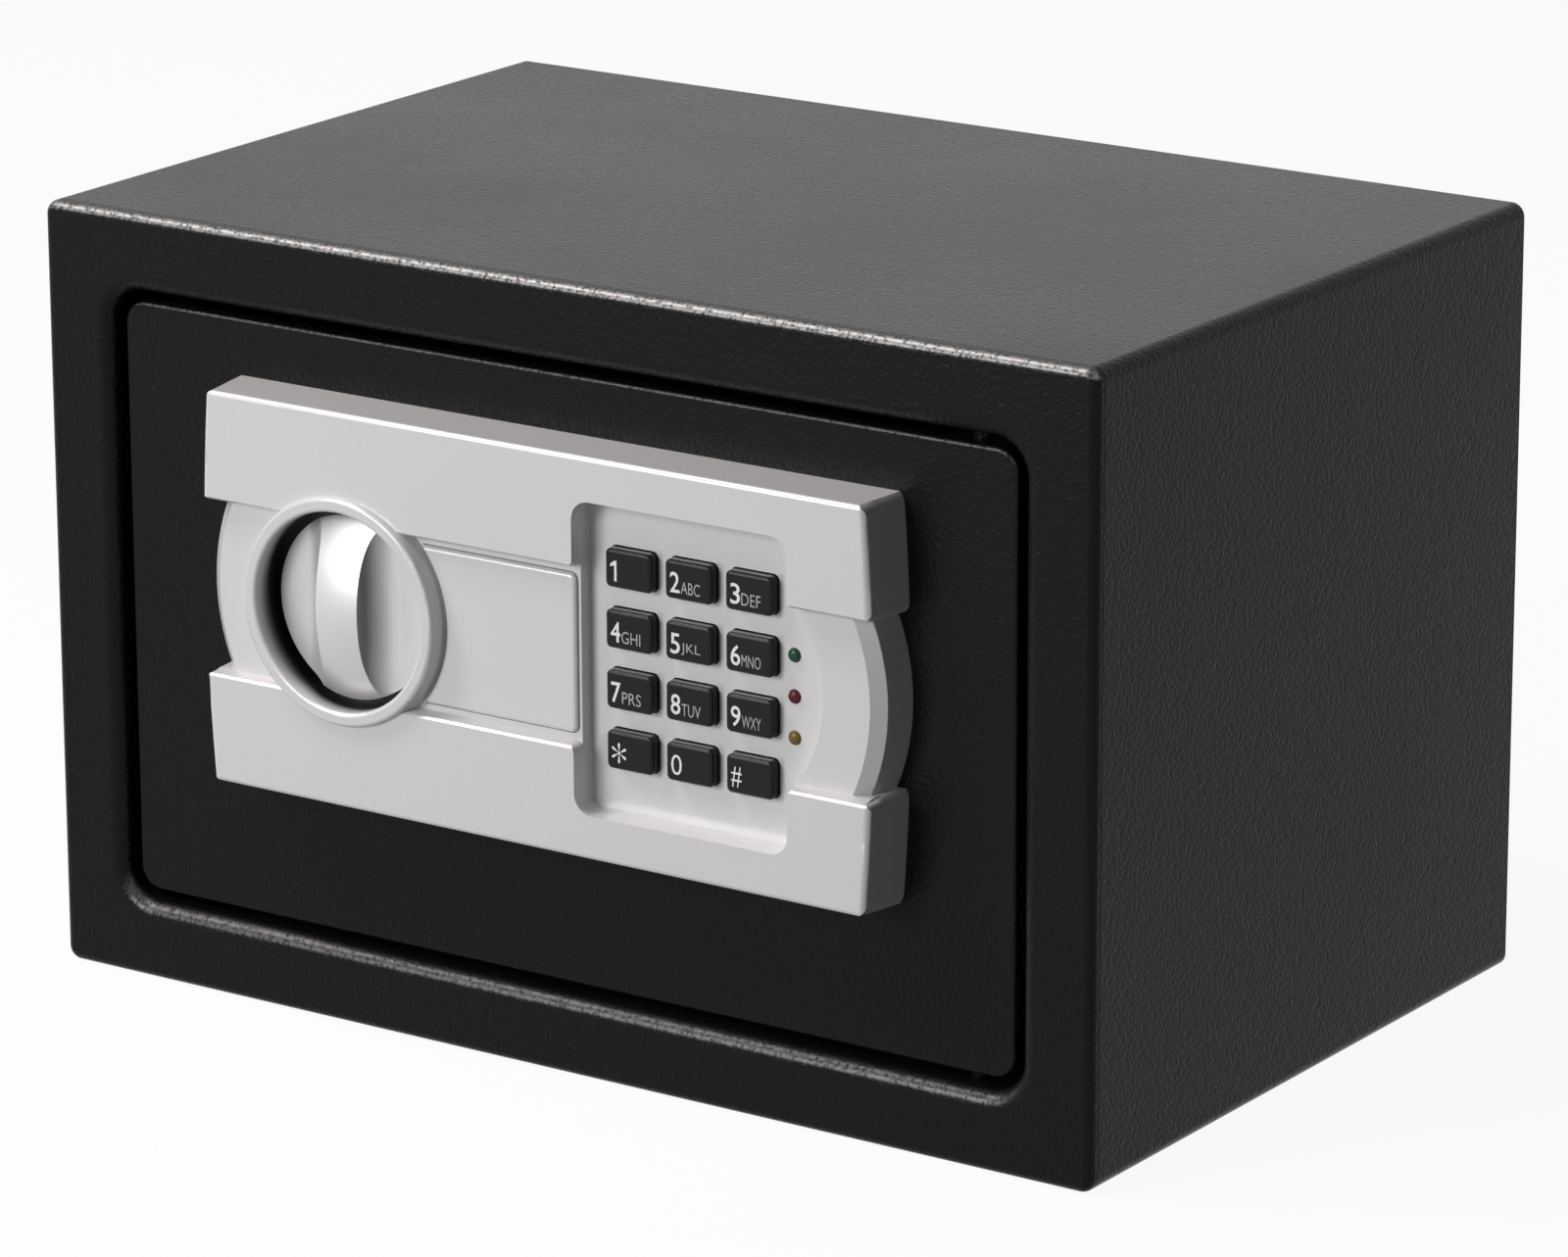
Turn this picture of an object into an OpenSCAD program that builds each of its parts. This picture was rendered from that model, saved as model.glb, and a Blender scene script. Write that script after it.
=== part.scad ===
// Small electronic safe: folded steel cabinet, hinged door and a moulded keypad panel.
// Sizes in millimetres. The model is drawn as seen from the front: X to the right, Y up and
// Z towards the reader, with Z = 0 on the face of the front frame. upright() then stands it up,
// so that the finished part has +Z up, its front towards -Y and its origin under the middle.

/* [Cabinet] */
// Overall width of the cabinet
body_w = 310; // [296:1:400]
// Overall height of the cabinet
body_h = 200; // [190:1:260]
// Depth from the face of the front frame to the back
body_d = 200; // [150:1:300]
// Thickness of the cabinet sheet
sheet_t = 1.5; // [1:0.1:1.6]
// Outer radius of the four long folds
body_r = 3.5; // [3.5:0.5:6]
// Outer radius of the fold round the face of the front frame
face_bend = 2.5; // [2:0.1:3]
// Short return behind that fold
seam_land = 0.8; // [0.5:0.1:2]
// Seam between the front frame and the wrapped sheet
seam_gap = 0.3; // [0.2:0.05:0.5]
// Depth of the frame's flange inside the wrapped sheet
frame_flange = 16; // [12:1:24]
// Depth of the back panel's folded flange
back_flange = 12; // [8:1:20]
// Clearance between welded sheets
weld_gap = 0.1; // [0.05:0.05:0.2]
// Radius of the anchor holes
anchor_r = 5; // [4:0.5:6]
// Distance between the two anchor holes of the floor and of the back
anchor_pitch = 180; // [120:5:200]
// Thickness of the floor mat
mat_t = 3; // [2:0.5:5]
// Radius of the holes in the mat over the anchor holes
mat_hole_r = 9; // [8:0.5:12]
// Clearance round the floor mat
mat_gap = 2; // [1:0.5:4]

/* [Door opening] */
// Width of the frame beside the door opening
stile = 20; // [18:1:26]
// Radius of the rolled edge of the opening
roll_r = 4; // [3:0.5:5]
// Corner radius of the opening
opening_r = 9; // [8:0.5:14]
// Depth of the opening's lip
lip_depth = 7.5; // [6.5:0.1:7.6]

/* [Door] */
// Gap all round the door
door_gap = 3; // [2.5:0.1:3.5]
// Depth of the door's face behind the frame's face
door_recess = 3; // [2.5:0.1:3.5]
// Thickness of the door plate
door_t = 4; // [3:0.1:4.2]
// Radius of the edge round the door's face
door_edge_r = 1; // [0.4:0.1:1.2]
// Hinge axis, inwards from the edge of the door
hinge_in = 14; // [12:0.5:16]
// Hinge axis, behind the face of the frame
hinge_back = 10.5; // [10.5:0.1:11]
// Radius of the hinge pins
hinge_pin_r = 2.5; // [2:0.1:2.5]
// Running clearance of pins, shafts and bolts, on the radius
run_gap = 0.05; // [0.03:0.01:0.08]
// Height of each hinge lug
lug_h = 12; // [8:1:16]
// Half width of a hinge lug
lug_half = 8; // [6:0.5:9]
// Thickness of the hinge ears and their plates
ear_t = 3; // [2:0.5:3.5]
// Radius of the screws
screw_r = 1.5; // [1.25:0.05:1.75]

/* [Panel] */
// Width of the moulded panel across the middle
panel_w = 201.2; // [196:0.2:206]
// Height of the moulded panel
panel_h = 100.4; // [98:0.2:106]
// Panel centre, right of the door's centre
panel_dx = 2; // [0:0.5:4]
// Panel centre, above the door's centre
panel_dy = 12; // [6:0.5:14]
// Height of the upper and lower bands above the door
band_z = 15; // [14:0.5:17]
// Height of the middle field above the door
mid_z = 11.5; // [11:0.5:12.5]
// Height of the keypad floor above the door
pad_z = 8; // [7.5:0.1:8.5]
// Height of the middle field between the bands
mid_h = 45; // [42:0.5:48]
// Wall thickness of the moulding
wall = 2; // [1.6:0.1:2.2]
// Draft of the end walls over their height
draft = 1.5; // [0.5:0.1:2]
// Draft of the upper and lower walls over their height
side_draft = 0.4; // [0.2:0.1:1]
// Draft of the bands' walls beside the middle field
mid_draft = 0.8; // [0.4:0.1:1.2]
// Radius of the curved ends of the bands
end_r = 620; // [400:10:900]
// Radius of the curved ends of the middle field
tongue_r = 55; // [50:1:70]
// Length of the middle field's ends, which stand clear of the bands' walls
tongue_l = 14; // [10:1:20]
// How far the middle field stands out past the bands at each end
tongue_out = 0.6; // [0:0.1:2]
// Lean of the end walls of the middle field
tongue_lean = 1.3; // [0.5:0.1:2]
// Width of the bevel round the ends of the middle field
bevel_w = 3.2; // [2:0.1:4]
// Height of that bevel
bevel_h = 2.8; // [1.5:0.1:3.5]
// Radius of the moulding's upper and lower edges
edge_r = 1.2; // [0.5:0.1:1.8]
// Radius of the edges at the ends of the bands
end_edge_r = 1.6; // [0.5:0.1:2.2]
// Radius of the four outer corners
corner_r = 2.6; // [1.5:0.1:3.5]
// Radius of the bands' small corners beside the middle field and the keypad
nook_r = 1.4; // [0.5:0.1:2]
// Clearance between parts of the panel that slide or lift out
slide_gap = 0.25; // [0.2:0.05:0.4]

/* [Knob] */
// Knob centre, left of the panel's centre
knob_dx = 56.4; // [54:0.2:58]
// Outer radius of the ring round the knob, at its foot
ring_r = 30; // [28.5:0.5:30.5]
// Draft of the ring's outer wall over its height above the middle field
ring_draft = 1.4; // [0.4:0.1:1.8]
// Inner radius of the ring
ring_bore = 25.3; // [24.5:0.1:26]
// Height of the ring above the door
ring_z = 16.7; // [16:0.1:18]
// Radius of the ring's edges
ring_edge = 0.9; // [0.4:0.1:1.5]
// Height of the floor under the knob
well_z = 6.5; // [6:0.1:7]
// Radius of the knob
knob_r = 23.3; // [21:0.1:24]
// Height of the top of the knob above the door
knob_top = 17.2; // [16:0.1:21]
// Height of the knob's rim above the door
knob_rim = 10.4; // [9:0.1:11]
// Radius of the hollow walls of the knob's grip
scoop_r = 8; // [6:0.5:9]
// Half the width of the grip at its waist
grip_half = 6.3; // [5:0.1:7]
// Height of the knob's floor beside the grip, above the door
scoop_z = 8.6; // [8:0.1:9.4]
// Radius of the knob's shaft
shaft_r = 4; // [3:0.5:4.5]
// Depth of the shaft in the knob
shaft_in = 7; // [4:0.5:8]
// Turn of the knob from open to locked, in degrees
knob_turn = 60; // [50:1:64]

/* [Keypad] */
// Keypad centre, right of the panel's centre
pad_dx = 44.5; // [43.5:0.5:45.5]
// Width of the keypad recess
pad_w = 62; // [60:0.5:64]
// Height of the keypad recess
pad_h = 78.3; // [76:0.1:82]
// Corner radius of the keypad recess
pad_r = 5; // [3:0.5:7]
// Draft of the walls of the keypad recess
pad_draft = 0.5; // [0.2:0.1:1]
// Width of a key
key_w = 13.4; // [12:0.1:15.2]
// Height of a key
key_h = 9.6; // [8:0.1:10]
// Corner radius of a key
key_r = 1.4; // [1:0.1:2]
// Radius of a key's top edge
key_edge = 0.9; // [0.3:0.1:1]
// Key pitch across
key_px = 17.4; // [17.2:0.1:18]
// Key pitch down
key_py = 15.1; // [14.5:0.1:16]
// Height of a key above the keypad floor
key_up = 3; // [2:0.1:3.2]
// Travel of a key
key_travel = 1.2; // [0.8:0.1:1.3]
// Radius of an indicator lamp
led_r = 1.7; // [1.4:0.1:2.4]
// Lamp centres, right of the keypad's centre
led_dx = 28.6; // [27.5:0.1:29.5]
// Pitch of the lamps
led_pitch = 10.2; // [9:0.1:11]
// Radius of the bay in the middle field round the lamps
bay_r = 34; // [32:0.5:40]

/* [Badge cover and override lock] */
// Height of the removable badge cover
badge_h = 40; // [36:0.5:41]
// Thickness of the badge cover
badge_t = 2; // [1.8:0.1:2.4]
// Radius of the badge cover's edges
badge_edge = 1.1; // [0.5:0.1:1.4]
// Depth of the pocket that the badge cover sits in
badge_pocket = 1; // [0.8:0.1:1.2]
// Override lock, left of the panel's centre
lock_dx = 6.5; // [5:0.5:8]
// Radius of the lock barrel
barrel_r = 9; // [8:0.5:9.5]
// Length of the lock barrel behind the face of the frame
barrel_back = 22; // [18:0.5:24]
// Radius of the lock plug
plug_r = 6; // [5:0.5:6.5]
// Length of the lock's cam from its axis
lock_cam_l = 20; // [16:1:22]

/* [Boltwork] */
// Radius of the locking bolts
bolt_r = 8; // [7:0.5:8]
// Distance between the two locking bolts
bolt_pitch = 84; // [80:1:96]
// Axis of the bolts behind the face of the frame
bolt_back = 17.5; // [17.4:0.1:18.5]
// Bolt ends, inside the edge of the door when open
bolt_in = 3; // [2.5:0.5:4]
// Length of the bolts outside their guide when open
bolt_out = 15; // [13:0.5:17]
// Travel of the bolts
bolt_throw = 14; // [12:0.5:14.5]
// Thickness of the bolt carriage
carriage_t = 2; // [1.5:0.1:2.2]
// Front of the bolt carriage behind the face of the frame
carriage_back = 11.5; // [11.5:0.1:11.8]
// Width of the carriage's upright strip
strip_w = 20; // [18:1:24]
// Radius of the crank pin
crank_pin_r = 3; // [2.5:0.1:3.2]
// Clearance of the crank pin in its slot, each side
crank_gap = 0.22; // [0.2:0.01:0.4]
// Thickness of the bolt guide
guide_t = 4; // [3:0.5:5]
// Radius of the guide studs
stud_r = 3; // [2.5:0.1:3.5]
// Drop of the guide studs below the knob's axis
stud_drop = 20; // [18:0.5:21]
// Radius of the solenoid's plunger
plunger_r = 4; // [3.5:0.1:4.5]
// Travel of the plunger over the knob's turn
plunger_travel = 8; // [7:0.1:8.5]
// Solenoid axis, right of the knob's axis
solenoid_dx = 10; // [8:0.5:12]
// Width of the solenoid's frame
solenoid_w = 26; // [22:1:28]
// Height of the solenoid's frame
solenoid_h = 28; // [24:1:30]
// Drop of the carriage's locking flange below the knob's axis
lock_drop = 28; // [26.5:0.5:30]

/* [Inside of the door] */
// Thickness of the inner cover
cover_t = 1.2; // [1:0.1:1.5]
// Depth of the inner cover behind the face of the frame
cover_back = 40; // [40:0.5:44]
// Inner cover, inwards from the edge of the door, top and bottom
cover_in = 11; // [10:0.5:12]
// Width of the flanges of the inner cover
cover_flange = 7; // [6:0.5:8]
// Width of the control board
ctrl_w = 60; // [56:1:62]
// Height of the control board
ctrl_h = 40; // [38:1:46]
// Thickness of the circuit boards
board_t = 1.6; // [1.2:0.1:1.8]
// Diameter of a battery cell
cell_d = 14.2; // [13.8:0.1:14.4]
// Length of a battery cell
cell_l = 50.5; // [49:0.1:51]
// Wall of the battery box
box_wall = 1.6; // [1.2:0.1:2]
// Radius of the reset button
reset_r = 4.5; // [3.5:0.1:5]
// Travel of the reset button
reset_travel = 1.5; // [1:0.1:1.5]

/* [Hidden] */
$fn = 64;

black = [0.09, 0.09, 0.095];
silver = [0.77, 0.77, 0.78];
zinc = [0.68, 0.7, 0.72];
steel = [0.55, 0.56, 0.58];
brass = [0.78, 0.62, 0.3];
green = [0.1, 0.35, 0.18];

// How far cutters pass through a face, and the clearances of seated pieces
over = 1;
seat_gap = 0.05;
loose_gap = 0.2;
lift_gap = 0.3;

// Cabinet
inner_r = body_r - sheet_t;
flange_u = inner_r - weld_gap;
seam_z = face_bend + seam_land;
wrap_front = seam_z + seam_gap;
mid_y = body_h / 2;
opening_w = body_w - 2 * stile;
opening_h = body_h - 2 * stile;

// Door and hinges
door_w = opening_w - 2 * door_gap;
door_h = opening_h - 2 * door_gap;
door_r = opening_r - door_gap;
door_z = -door_recess;
door_back = door_z - door_t;
door_top = mid_y + door_h / 2;
door_bottom = mid_y - door_h / 2;
hinge_x = door_w / 2 - hinge_in;
hinge_z = -hinge_back;
lug_wall = 2;
lug_back = hinge_z - hinge_pin_r - lug_wall;
ear_y = mid_y + opening_h / 2 + roll_r + loose_gap;
ear_side = 3;
ear_back = 1;
leg_gap = 0.6;
leg_top = body_h - 2 * sheet_t - weld_gap - leg_gap;
pin_out = 1.3;
pin_head_t = 1.5;
pin_head_r = hinge_pin_r + 1;

// Screws
head_r = 2 * screw_r;
head_t = 1.6;
head_slot = 0.6;
cover_thread = 3;
panel_thread = 6;
boss_wall = 1.6;

// Panel
panel_x = panel_dx;
panel_y = mid_y + panel_dy;
knob_x = panel_x - knob_dx;
knob_y = panel_y;
lock_x = panel_x - lock_dx;
lock_y = panel_y;
pad_x = panel_x + pad_dx;
pad_y = panel_y;
end_w = panel_w / 2;
mid_half = mid_h / 2;
mid_foot = mid_half - mid_draft;
tongue_w = end_w + tongue_out;
tongue_in = end_w - tongue_l;
rim_z = mid_z - bevel_h;
rim_edge = 0.5;
end_sag = end_r - sqrt(pow(end_r, 2) - pow(panel_h / 2, 2));
lip_r = 0.5;
post_in = 0.05;
well_gap = 0.3;
shaft_hole = 1;
cup_top = well_z - wall;
screw_side = 12;
screw_end = 14;
panel_screw_at = [for (sx = [-1, 1], sy = [-1, 1])
    [panel_x + sx * (end_w - screw_side), panel_y + sy * (panel_h / 2 - screw_end)]];

// Badge cover and override lock
badge_z = mid_z - badge_pocket;
badge_gap = 0.7;
badge_right = pad_x - pad_w / 2 - badge_gap;
badge_r = 2;
badge_ring_gap = 0.8;
peg_r = 1.5;
peg_l = 3;
peg_dy = 15;
barrel_under = 0.3;
barrel_front = door_z + badge_z - barrel_under;
keyway_w = 1.6;
keyway_h = 7;
keyway_l = 12;
nut_side = 3.5;
nut_t = 3;
lock_cam_t = 2;
lock_cam_w = 3.5;
lock_cam_hub = plug_r + 2.5;

// Keypad
floor_back = pad_z - wall;
key_flange_t = 0.8;
key_side = 1;
key_side_y = 1.8;
key_rest = 0.1;
mat_front = floor_back - key_rest - key_flange_t - key_travel - 0.1;
pad_mat_t = 1;
board_front = mat_front - pad_mat_t;
board_h = 68;
board_side = 3;
board_left = pad_x - key_px - key_w / 2 - board_side;
board_right = pad_x + led_dx + 8;
board_back = door_z + board_front - board_t;
led_low = 1.5;
led_x = pad_x + led_dx;
led_y = pad_y - led_low;
led_flange = 0.4;
led_up = 0.2;
bay_out = 10.4;

// Knob drive
crank_r = bolt_throw / 2 / sin(knob_turn / 2);
bush_r = shaft_r + 3;
bush_in = 2;
bush_flange_t = 1.2;
bush_flange_r = bush_r + 2;
cam_gap = 0.1;
cam_front = door_back - bush_flange_t - cam_gap;
cam_back = -carriage_back + lift_gap;
cam_hub = 9;
cam_arm = 2.5;
shaft_top = door_z + well_z + well_gap + shaft_in - loose_gap;

// Boltwork
carriage_front = -carriage_back;
carriage_rear = carriage_front - carriage_t;
bolt_z = -bolt_back;
bolt_tip = -door_w / 2 + bolt_in;
bolt_nose = 1.5;
guide_x = bolt_tip + bolt_out;
guide_foot = 6;
guide_foot_t = 2;
guide_side = 5;
guide_back = 3;
stop_gap = 6;
plate_left = guide_x + guide_t + bolt_throw + stop_gap;
tenon_r = 2.2;
tenon_head = 1;
strip_side = 8;
arm_side = 5;
arm_end = 24;
slot_end = 1;
stud_gap = 0.15;
stud_head = stud_r + 2;
stud_side = 9;
stud_dx = 18;
stud_at = [plate_left + stud_side, knob_x + stud_dx];
stud_y = knob_y - stud_drop;

// Solenoid
solenoid_x = knob_x + solenoid_dx;
solenoid_gap = 1.5;
solenoid_z = carriage_rear - plunger_r - solenoid_gap;
solenoid_d = 20;
solenoid_t = 2;
lock_y0 = knob_y - lock_drop;
lock_side = 3;
entry = 0.75;
tip_y = lock_y0 - plunger_travel * entry;
tip_out = 2;
solenoid_top = tip_y - tip_out;
coil_r = solenoid_d / 2 - solenoid_t - cam_gap;
coil_in = 2;
plunger_in = 2.6;

// Inside of the door
cover_z = -cover_back;
cover_gap = 1;
cover_left = guide_x + guide_t + cover_gap;
hinge_room = 8;
cover_right = hinge_x - lug_half - hinge_room;
cover_span = cover_right - cover_left;
cover_top = door_top - cover_in;
cover_bottom = door_bottom + cover_in;
cover_h = cover_top - cover_bottom;
bolt_room = 0.8;
cover_screw_in = 12;
cover_screw_at = [for (sx = [0, 1], sy = [-1, 1])
    [sx > 0 ? cover_right - cover_screw_in : cover_left + cover_screw_in,
     mid_y + sy * (cover_h + cover_flange) / 2]];

// Control board
standoff = 2.5;
ctrl_side = 1.5;
ctrl_x = panel_x + end_w - screw_side - head_r - ctrl_side - ctrl_w / 2;
ribbon_w = 14;
ribbon_t = 1.2;
ribbon_in = 4;
ribbon_y = pad_y - board_h / 2 + ribbon_in;
ctrl_y = ribbon_y + ribbon_in - ctrl_h / 2;
ctrl_z = door_back - standoff;
ctrl_back = ctrl_z - board_t;
stand_in = 4;
post_r = 2.6;
post_pin = 1.5;
post_at = [for (sx = [-1, 1], sy = [-1, 1]) [sx * (ctrl_w / 2 - stand_in), sy * (ctrl_h / 2 - stand_in)]];
chip = [14, 8, 2];
chip_at = [-14, -3];
relay = [10, 16, 8];
relay_at = [-27, -10];
buzzer_r = 6;
buzzer_h = 7;
buzzer_hole = 1.2;
buzzer_at = [9, 6];
switch_w = 6;
switch_h = 4;
reset_at = [21, -8];
reset_x = ctrl_x + reset_at[0];
reset_y = ctrl_y + reset_at[1];
reset_up = 2.5;
reset_rim = 1.2;
reset_stem = 1.5;

// Battery compartment
cell_gap = 0.6;
cell_pitch = cell_d + cell_gap;
cell_nub = 2.7;
cell_nub_l = 1;
box_end = 5;
box_side = 2;
box_w = cell_l + 2 * box_end;
box_h = 4 * cell_pitch + 2 * box_side;
box_in = 5;
box_drop = 6;
box_x = cover_right - box_in - box_w / 2;
box_y = cover_top - box_drop - box_h / 2;
box_skirt = 3;
box_front = cover_z + cell_d + box_skirt + box_wall + 0.4;
box_d = box_front - cover_z;
box_rim = 3;
box_rim_t = 1.2;
rib_t = 0.4;
rib_h = 4.4;
cell_z = box_front - box_wall - cam_gap - cell_d / 2;
contact_t = 0.5;
contact_x = box_w / 2 - box_wall - cam_gap;
contact_side = 4;
contact_half = 5;
spring_r = 3;
lid_t = 1.8;
lid_out = 2;
lid_edge = 0.6;
skirt_l = 2.5;
skirt_t = 1.8;
grip_w = 1.4;
grip_h = 24;
grip_pitch = 3;
grip_in = 10;
grip_deep = 0.6;

// Stands the front view up, with the cabinet's footprint centred on the origin
module upright() {
    translate([0, -body_d / 2, 0]) rotate([90, 0, 0]) children();
}

// The same piece at the top and, turned over, at the bottom of the door
module flipped() {
    translate([0, body_h, 0]) mirror([0, 1, 0]) children();
}

// Rectangle with round corners
module rrect(w, h, r) {
    square([w - 2 * r, h], center = true);
    square([w, h - 2 * r], center = true);
    for (sx = [-1, 1], sy = [-1, 1]) translate([sx * (w / 2 - r), sy * (h / 2 - r)]) circle(r);
}

module quarter(r) {
    intersection() { circle(r); square(r); }
}

// Carries a section round a rectangle: u is measured outwards from the corner centres
module sweep_rect(w, h, c) {
    a = w / 2 - c;
    b = h / 2 - c;
    corners = [[a, b], [-a, b], [-a, -b], [a, -b]];
    for (i = [0:3]) translate(corners[i]) rotate(90 * i) rotate_extrude(angle = 90) children();
    for (s = [0, 1]) mirror([s, 0, 0]) translate([a, b, 0]) rotate([90, 0, 0]) linear_extrude(2 * b)
        children();
    for (s = [0, 1]) mirror([0, s, 0]) translate([-a, b, 0]) rotate([90, 0, 90])
        linear_extrude(2 * a) children();
}

// Block with round corners and a rounded front edge, its back at z = 0
module soft_block(w, h, t, r, f) {
    linear_extrude(t - f) rrect(w, h, r);
    linear_extrude(t) rrect(w - 2 * f, h - 2 * f, r - f);
    translate([0, 0, t - f]) sweep_rect(w, h, r) translate([r - f, 0]) quarter(f);
}

// Section of a wall that leans from r0 at its foot to r1 at its top, with the top edge rounded by f
module wall_section(r0, r1, h, f) {
    a = atan((r0 - r1) / h);
    cx = r0 - (r0 - r1) * (h - f) / h - f / cos(a);
    polygon([[0, 0], [r0, 0], [cx + f * cos(a), h - f + f * sin(a)], [cx, h], [0, h]]);
    translate([cx, h - f]) circle(f);
}

// Cylinders along X and Y, and round cutters along all three axes
module rod_x(x0, x1, r) {
    translate([x0, 0, 0]) rotate([0, 90, 0]) cylinder(r = r, h = x1 - x0);
}

module rod_y(y0, y1, r) {
    translate([0, y1, 0]) rotate([90, 0, 0]) cylinder(r = r, h = y1 - y0);
}

module hole_x(x0, x1, r) {
    rod_x(x0 - over, x1 + over, r);
}

module hole_y(y0, y1, r) {
    rod_y(y0 - over, y1 + over, r);
}

module hole_z(p, z0, z1, r) {
    translate([p[0], p[1], z0 - over]) cylinder(r = r, h = z1 - z0 + 2 * over);
}

// Cabinet

module body_shell() {
    color(black) upright() difference() {
        translate([0, mid_y, -body_d]) linear_extrude(body_d - wrap_front) difference() {
            rrect(body_w, body_h, body_r);
            rrect(body_w - 2 * sheet_t, body_h - 2 * sheet_t, inner_r);
        }
        for (s = [-1, 1]) translate([s * anchor_pitch / 2, 0, -body_d / 2]) hole_y(0, sheet_t, anchor_r);
    }
}

module back_panel() {
    w = body_w - 2 * sheet_t - 2 * weld_gap;
    h = body_h - 2 * sheet_t - 2 * weld_gap;
    color(black) upright() difference() {
        translate([0, mid_y, -body_d]) linear_extrude(back_flange) rrect(w, h, flange_u);
        translate([0, mid_y, sheet_t - body_d]) linear_extrude(back_flange)
            square([w - 2 * sheet_t, h - 2 * sheet_t], center = true);
        for (s = [-1, 1]) hole_z([s * anchor_pitch / 2, mid_y], -body_d, sheet_t - body_d, anchor_r);
    }
}

// Section of the frame's outer edge: hemmed fold, short return and the flange inside the wrapped sheet
module frame_edge() {
    root = min(flange_u - sheet_t, body_r - face_bend);
    difference() {
        translate([root, -seam_z]) square([body_r - root, seam_z]);
        translate([body_r - face_bend, -face_bend]) difference() {
            square(face_bend + over);
            circle(face_bend);
        }
    }
    translate([flange_u - sheet_t, -frame_flange]) square([sheet_t, frame_flange - seam_z]);
}

// Section of the opening's rolled edge and its lip
module opening_edge() {
    translate([opening_r + roll_r, -roll_r]) mirror([1, 0]) difference() {
        quarter(roll_r);
        circle(roll_r - sheet_t);
    }
    translate([opening_r, -lip_depth]) square([sheet_t, lip_depth - roll_r]);
}

module front_frame() {
    color(black) upright() translate([0, mid_y, 0]) {
        translate([0, 0, -sheet_t]) linear_extrude(sheet_t) difference() {
            rrect(body_w - 2 * face_bend, body_h - 2 * face_bend, body_r - face_bend);
            rrect(opening_w + 2 * roll_r, opening_h + 2 * roll_r, opening_r + roll_r);
        }
        sweep_rect(body_w, body_h, body_r) frame_edge();
        sweep_rect(opening_w, opening_h, opening_r) opening_edge();
    }
}

module floor_mat() {
    w = body_w - 2 * sheet_t - 2 * mat_gap;
    z0 = -body_d + back_flange + mat_gap;
    z1 = -frame_flange - mat_gap;
    color([0.12, 0.12, 0.12]) upright() difference() {
        translate([-w / 2, sheet_t, z0]) cube([w, mat_t, z1 - z0]);
        for (s = [-1, 1]) translate([s * anchor_pitch / 2, 0, -body_d / 2])
            hole_y(sheet_t, sheet_t + mat_t, mat_hole_r);
    }
}

// Angle bracket behind the frame that carries one hinge pin, drawn for the top
module hinge_bracket() {
    w = 2 * (lug_half + ear_side);
    back = lug_back - ear_back;
    difference() {
        union() {
            translate([hinge_x - w / 2, ear_y, back]) cube([w, ear_t, -sheet_t - back]);
            translate([hinge_x - w / 2, ear_y, -sheet_t - ear_t]) cube([w, leg_top - ear_y, ear_t]);
        }
        translate([hinge_x, 0, hinge_z]) hole_y(ear_y, ear_y + ear_t, hinge_pin_r + run_gap);
    }
}

module hinge_bracket_upper() {
    color(black) upright() hinge_bracket();
}

module hinge_bracket_lower() {
    color(black) upright() flipped() hinge_bracket();
}

// Door

module door_plate() {
    color(black) upright() difference() {
        translate([0, mid_y, door_back]) soft_block(door_w, door_h, door_t, door_r, door_edge_r);
        hole_z([knob_x, knob_y], door_back, door_z, bush_r + seat_gap);
        hole_z([lock_x, lock_y], door_back, door_z, barrel_r + seat_gap);
        translate([pad_x, ribbon_y, door_back - over]) linear_extrude(door_t + 2 * over)
            square([ribbon_w + 2, ribbon_t + 4], center = true);
        for (p = panel_screw_at) hole_z(p, door_back, door_z, screw_r + loose_gap);
        for (p = cover_screw_at) hole_z(p, door_back, door_back + cover_thread - over, screw_r + seat_gap);
    }
}

// Lug behind the door that holds one hinge pin, drawn for the top
module hinge_lug() {
    difference() {
        translate([hinge_x - lug_half, door_top - lug_h, lug_back])
            cube([2 * lug_half, lug_h, door_back - lug_back]);
        translate([hinge_x, 0, hinge_z]) hole_y(door_top - lug_h, door_top, hinge_pin_r + run_gap);
    }
}

module hinge_lug_upper() {
    color(black) upright() hinge_lug();
}

module hinge_lug_lower() {
    color(black) upright() flipped() hinge_lug();
}

module hinge_pin() {
    translate([hinge_x, 0, hinge_z]) {
        rod_y(door_top - lug_h, ear_y + ear_t + pin_out, hinge_pin_r);
        rod_y(door_top - lug_h - pin_head_t, door_top - lug_h, pin_head_r);
    }
}

module hinge_pin_upper() {
    color(zinc) upright() hinge_pin();
}

module hinge_pin_lower() {
    color(zinc) upright() flipped() hinge_pin();
}

// Sheet box over the boltwork, with flanges at the top and bottom
module door_inner_cover() {
    depth = door_back - cover_z;
    color(black) upright() difference() {
        union() {
            translate([cover_left, cover_bottom, cover_z]) cube([cover_span, cover_h, depth]);
            translate([cover_left, cover_bottom - cover_flange, door_back - cover_t])
                cube([cover_span, cover_h + 2 * cover_flange, cover_t]);
        }
        translate([cover_left + cover_t, cover_bottom + cover_t, cover_z + cover_t])
            cube([cover_span - 2 * cover_t, cover_h - 2 * cover_t, depth]);
        for (s = [-1, 1]) translate([0, mid_y + s * bolt_pitch / 2, bolt_z])
            hole_x(cover_left, cover_left + cover_t, bolt_r + bolt_room);
        translate([box_x, box_y, cover_z - over]) linear_extrude(cover_t + 2 * over)
            square([box_w + 2 * loose_gap, box_h + 2 * loose_gap], center = true);
        hole_z([reset_x, reset_y], cover_z, cover_z + cover_t, reset_r + slide_gap);
        for (p = cover_screw_at) hole_z(p, door_back - cover_t, door_back, screw_r + loose_gap);
    }
}

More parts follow.
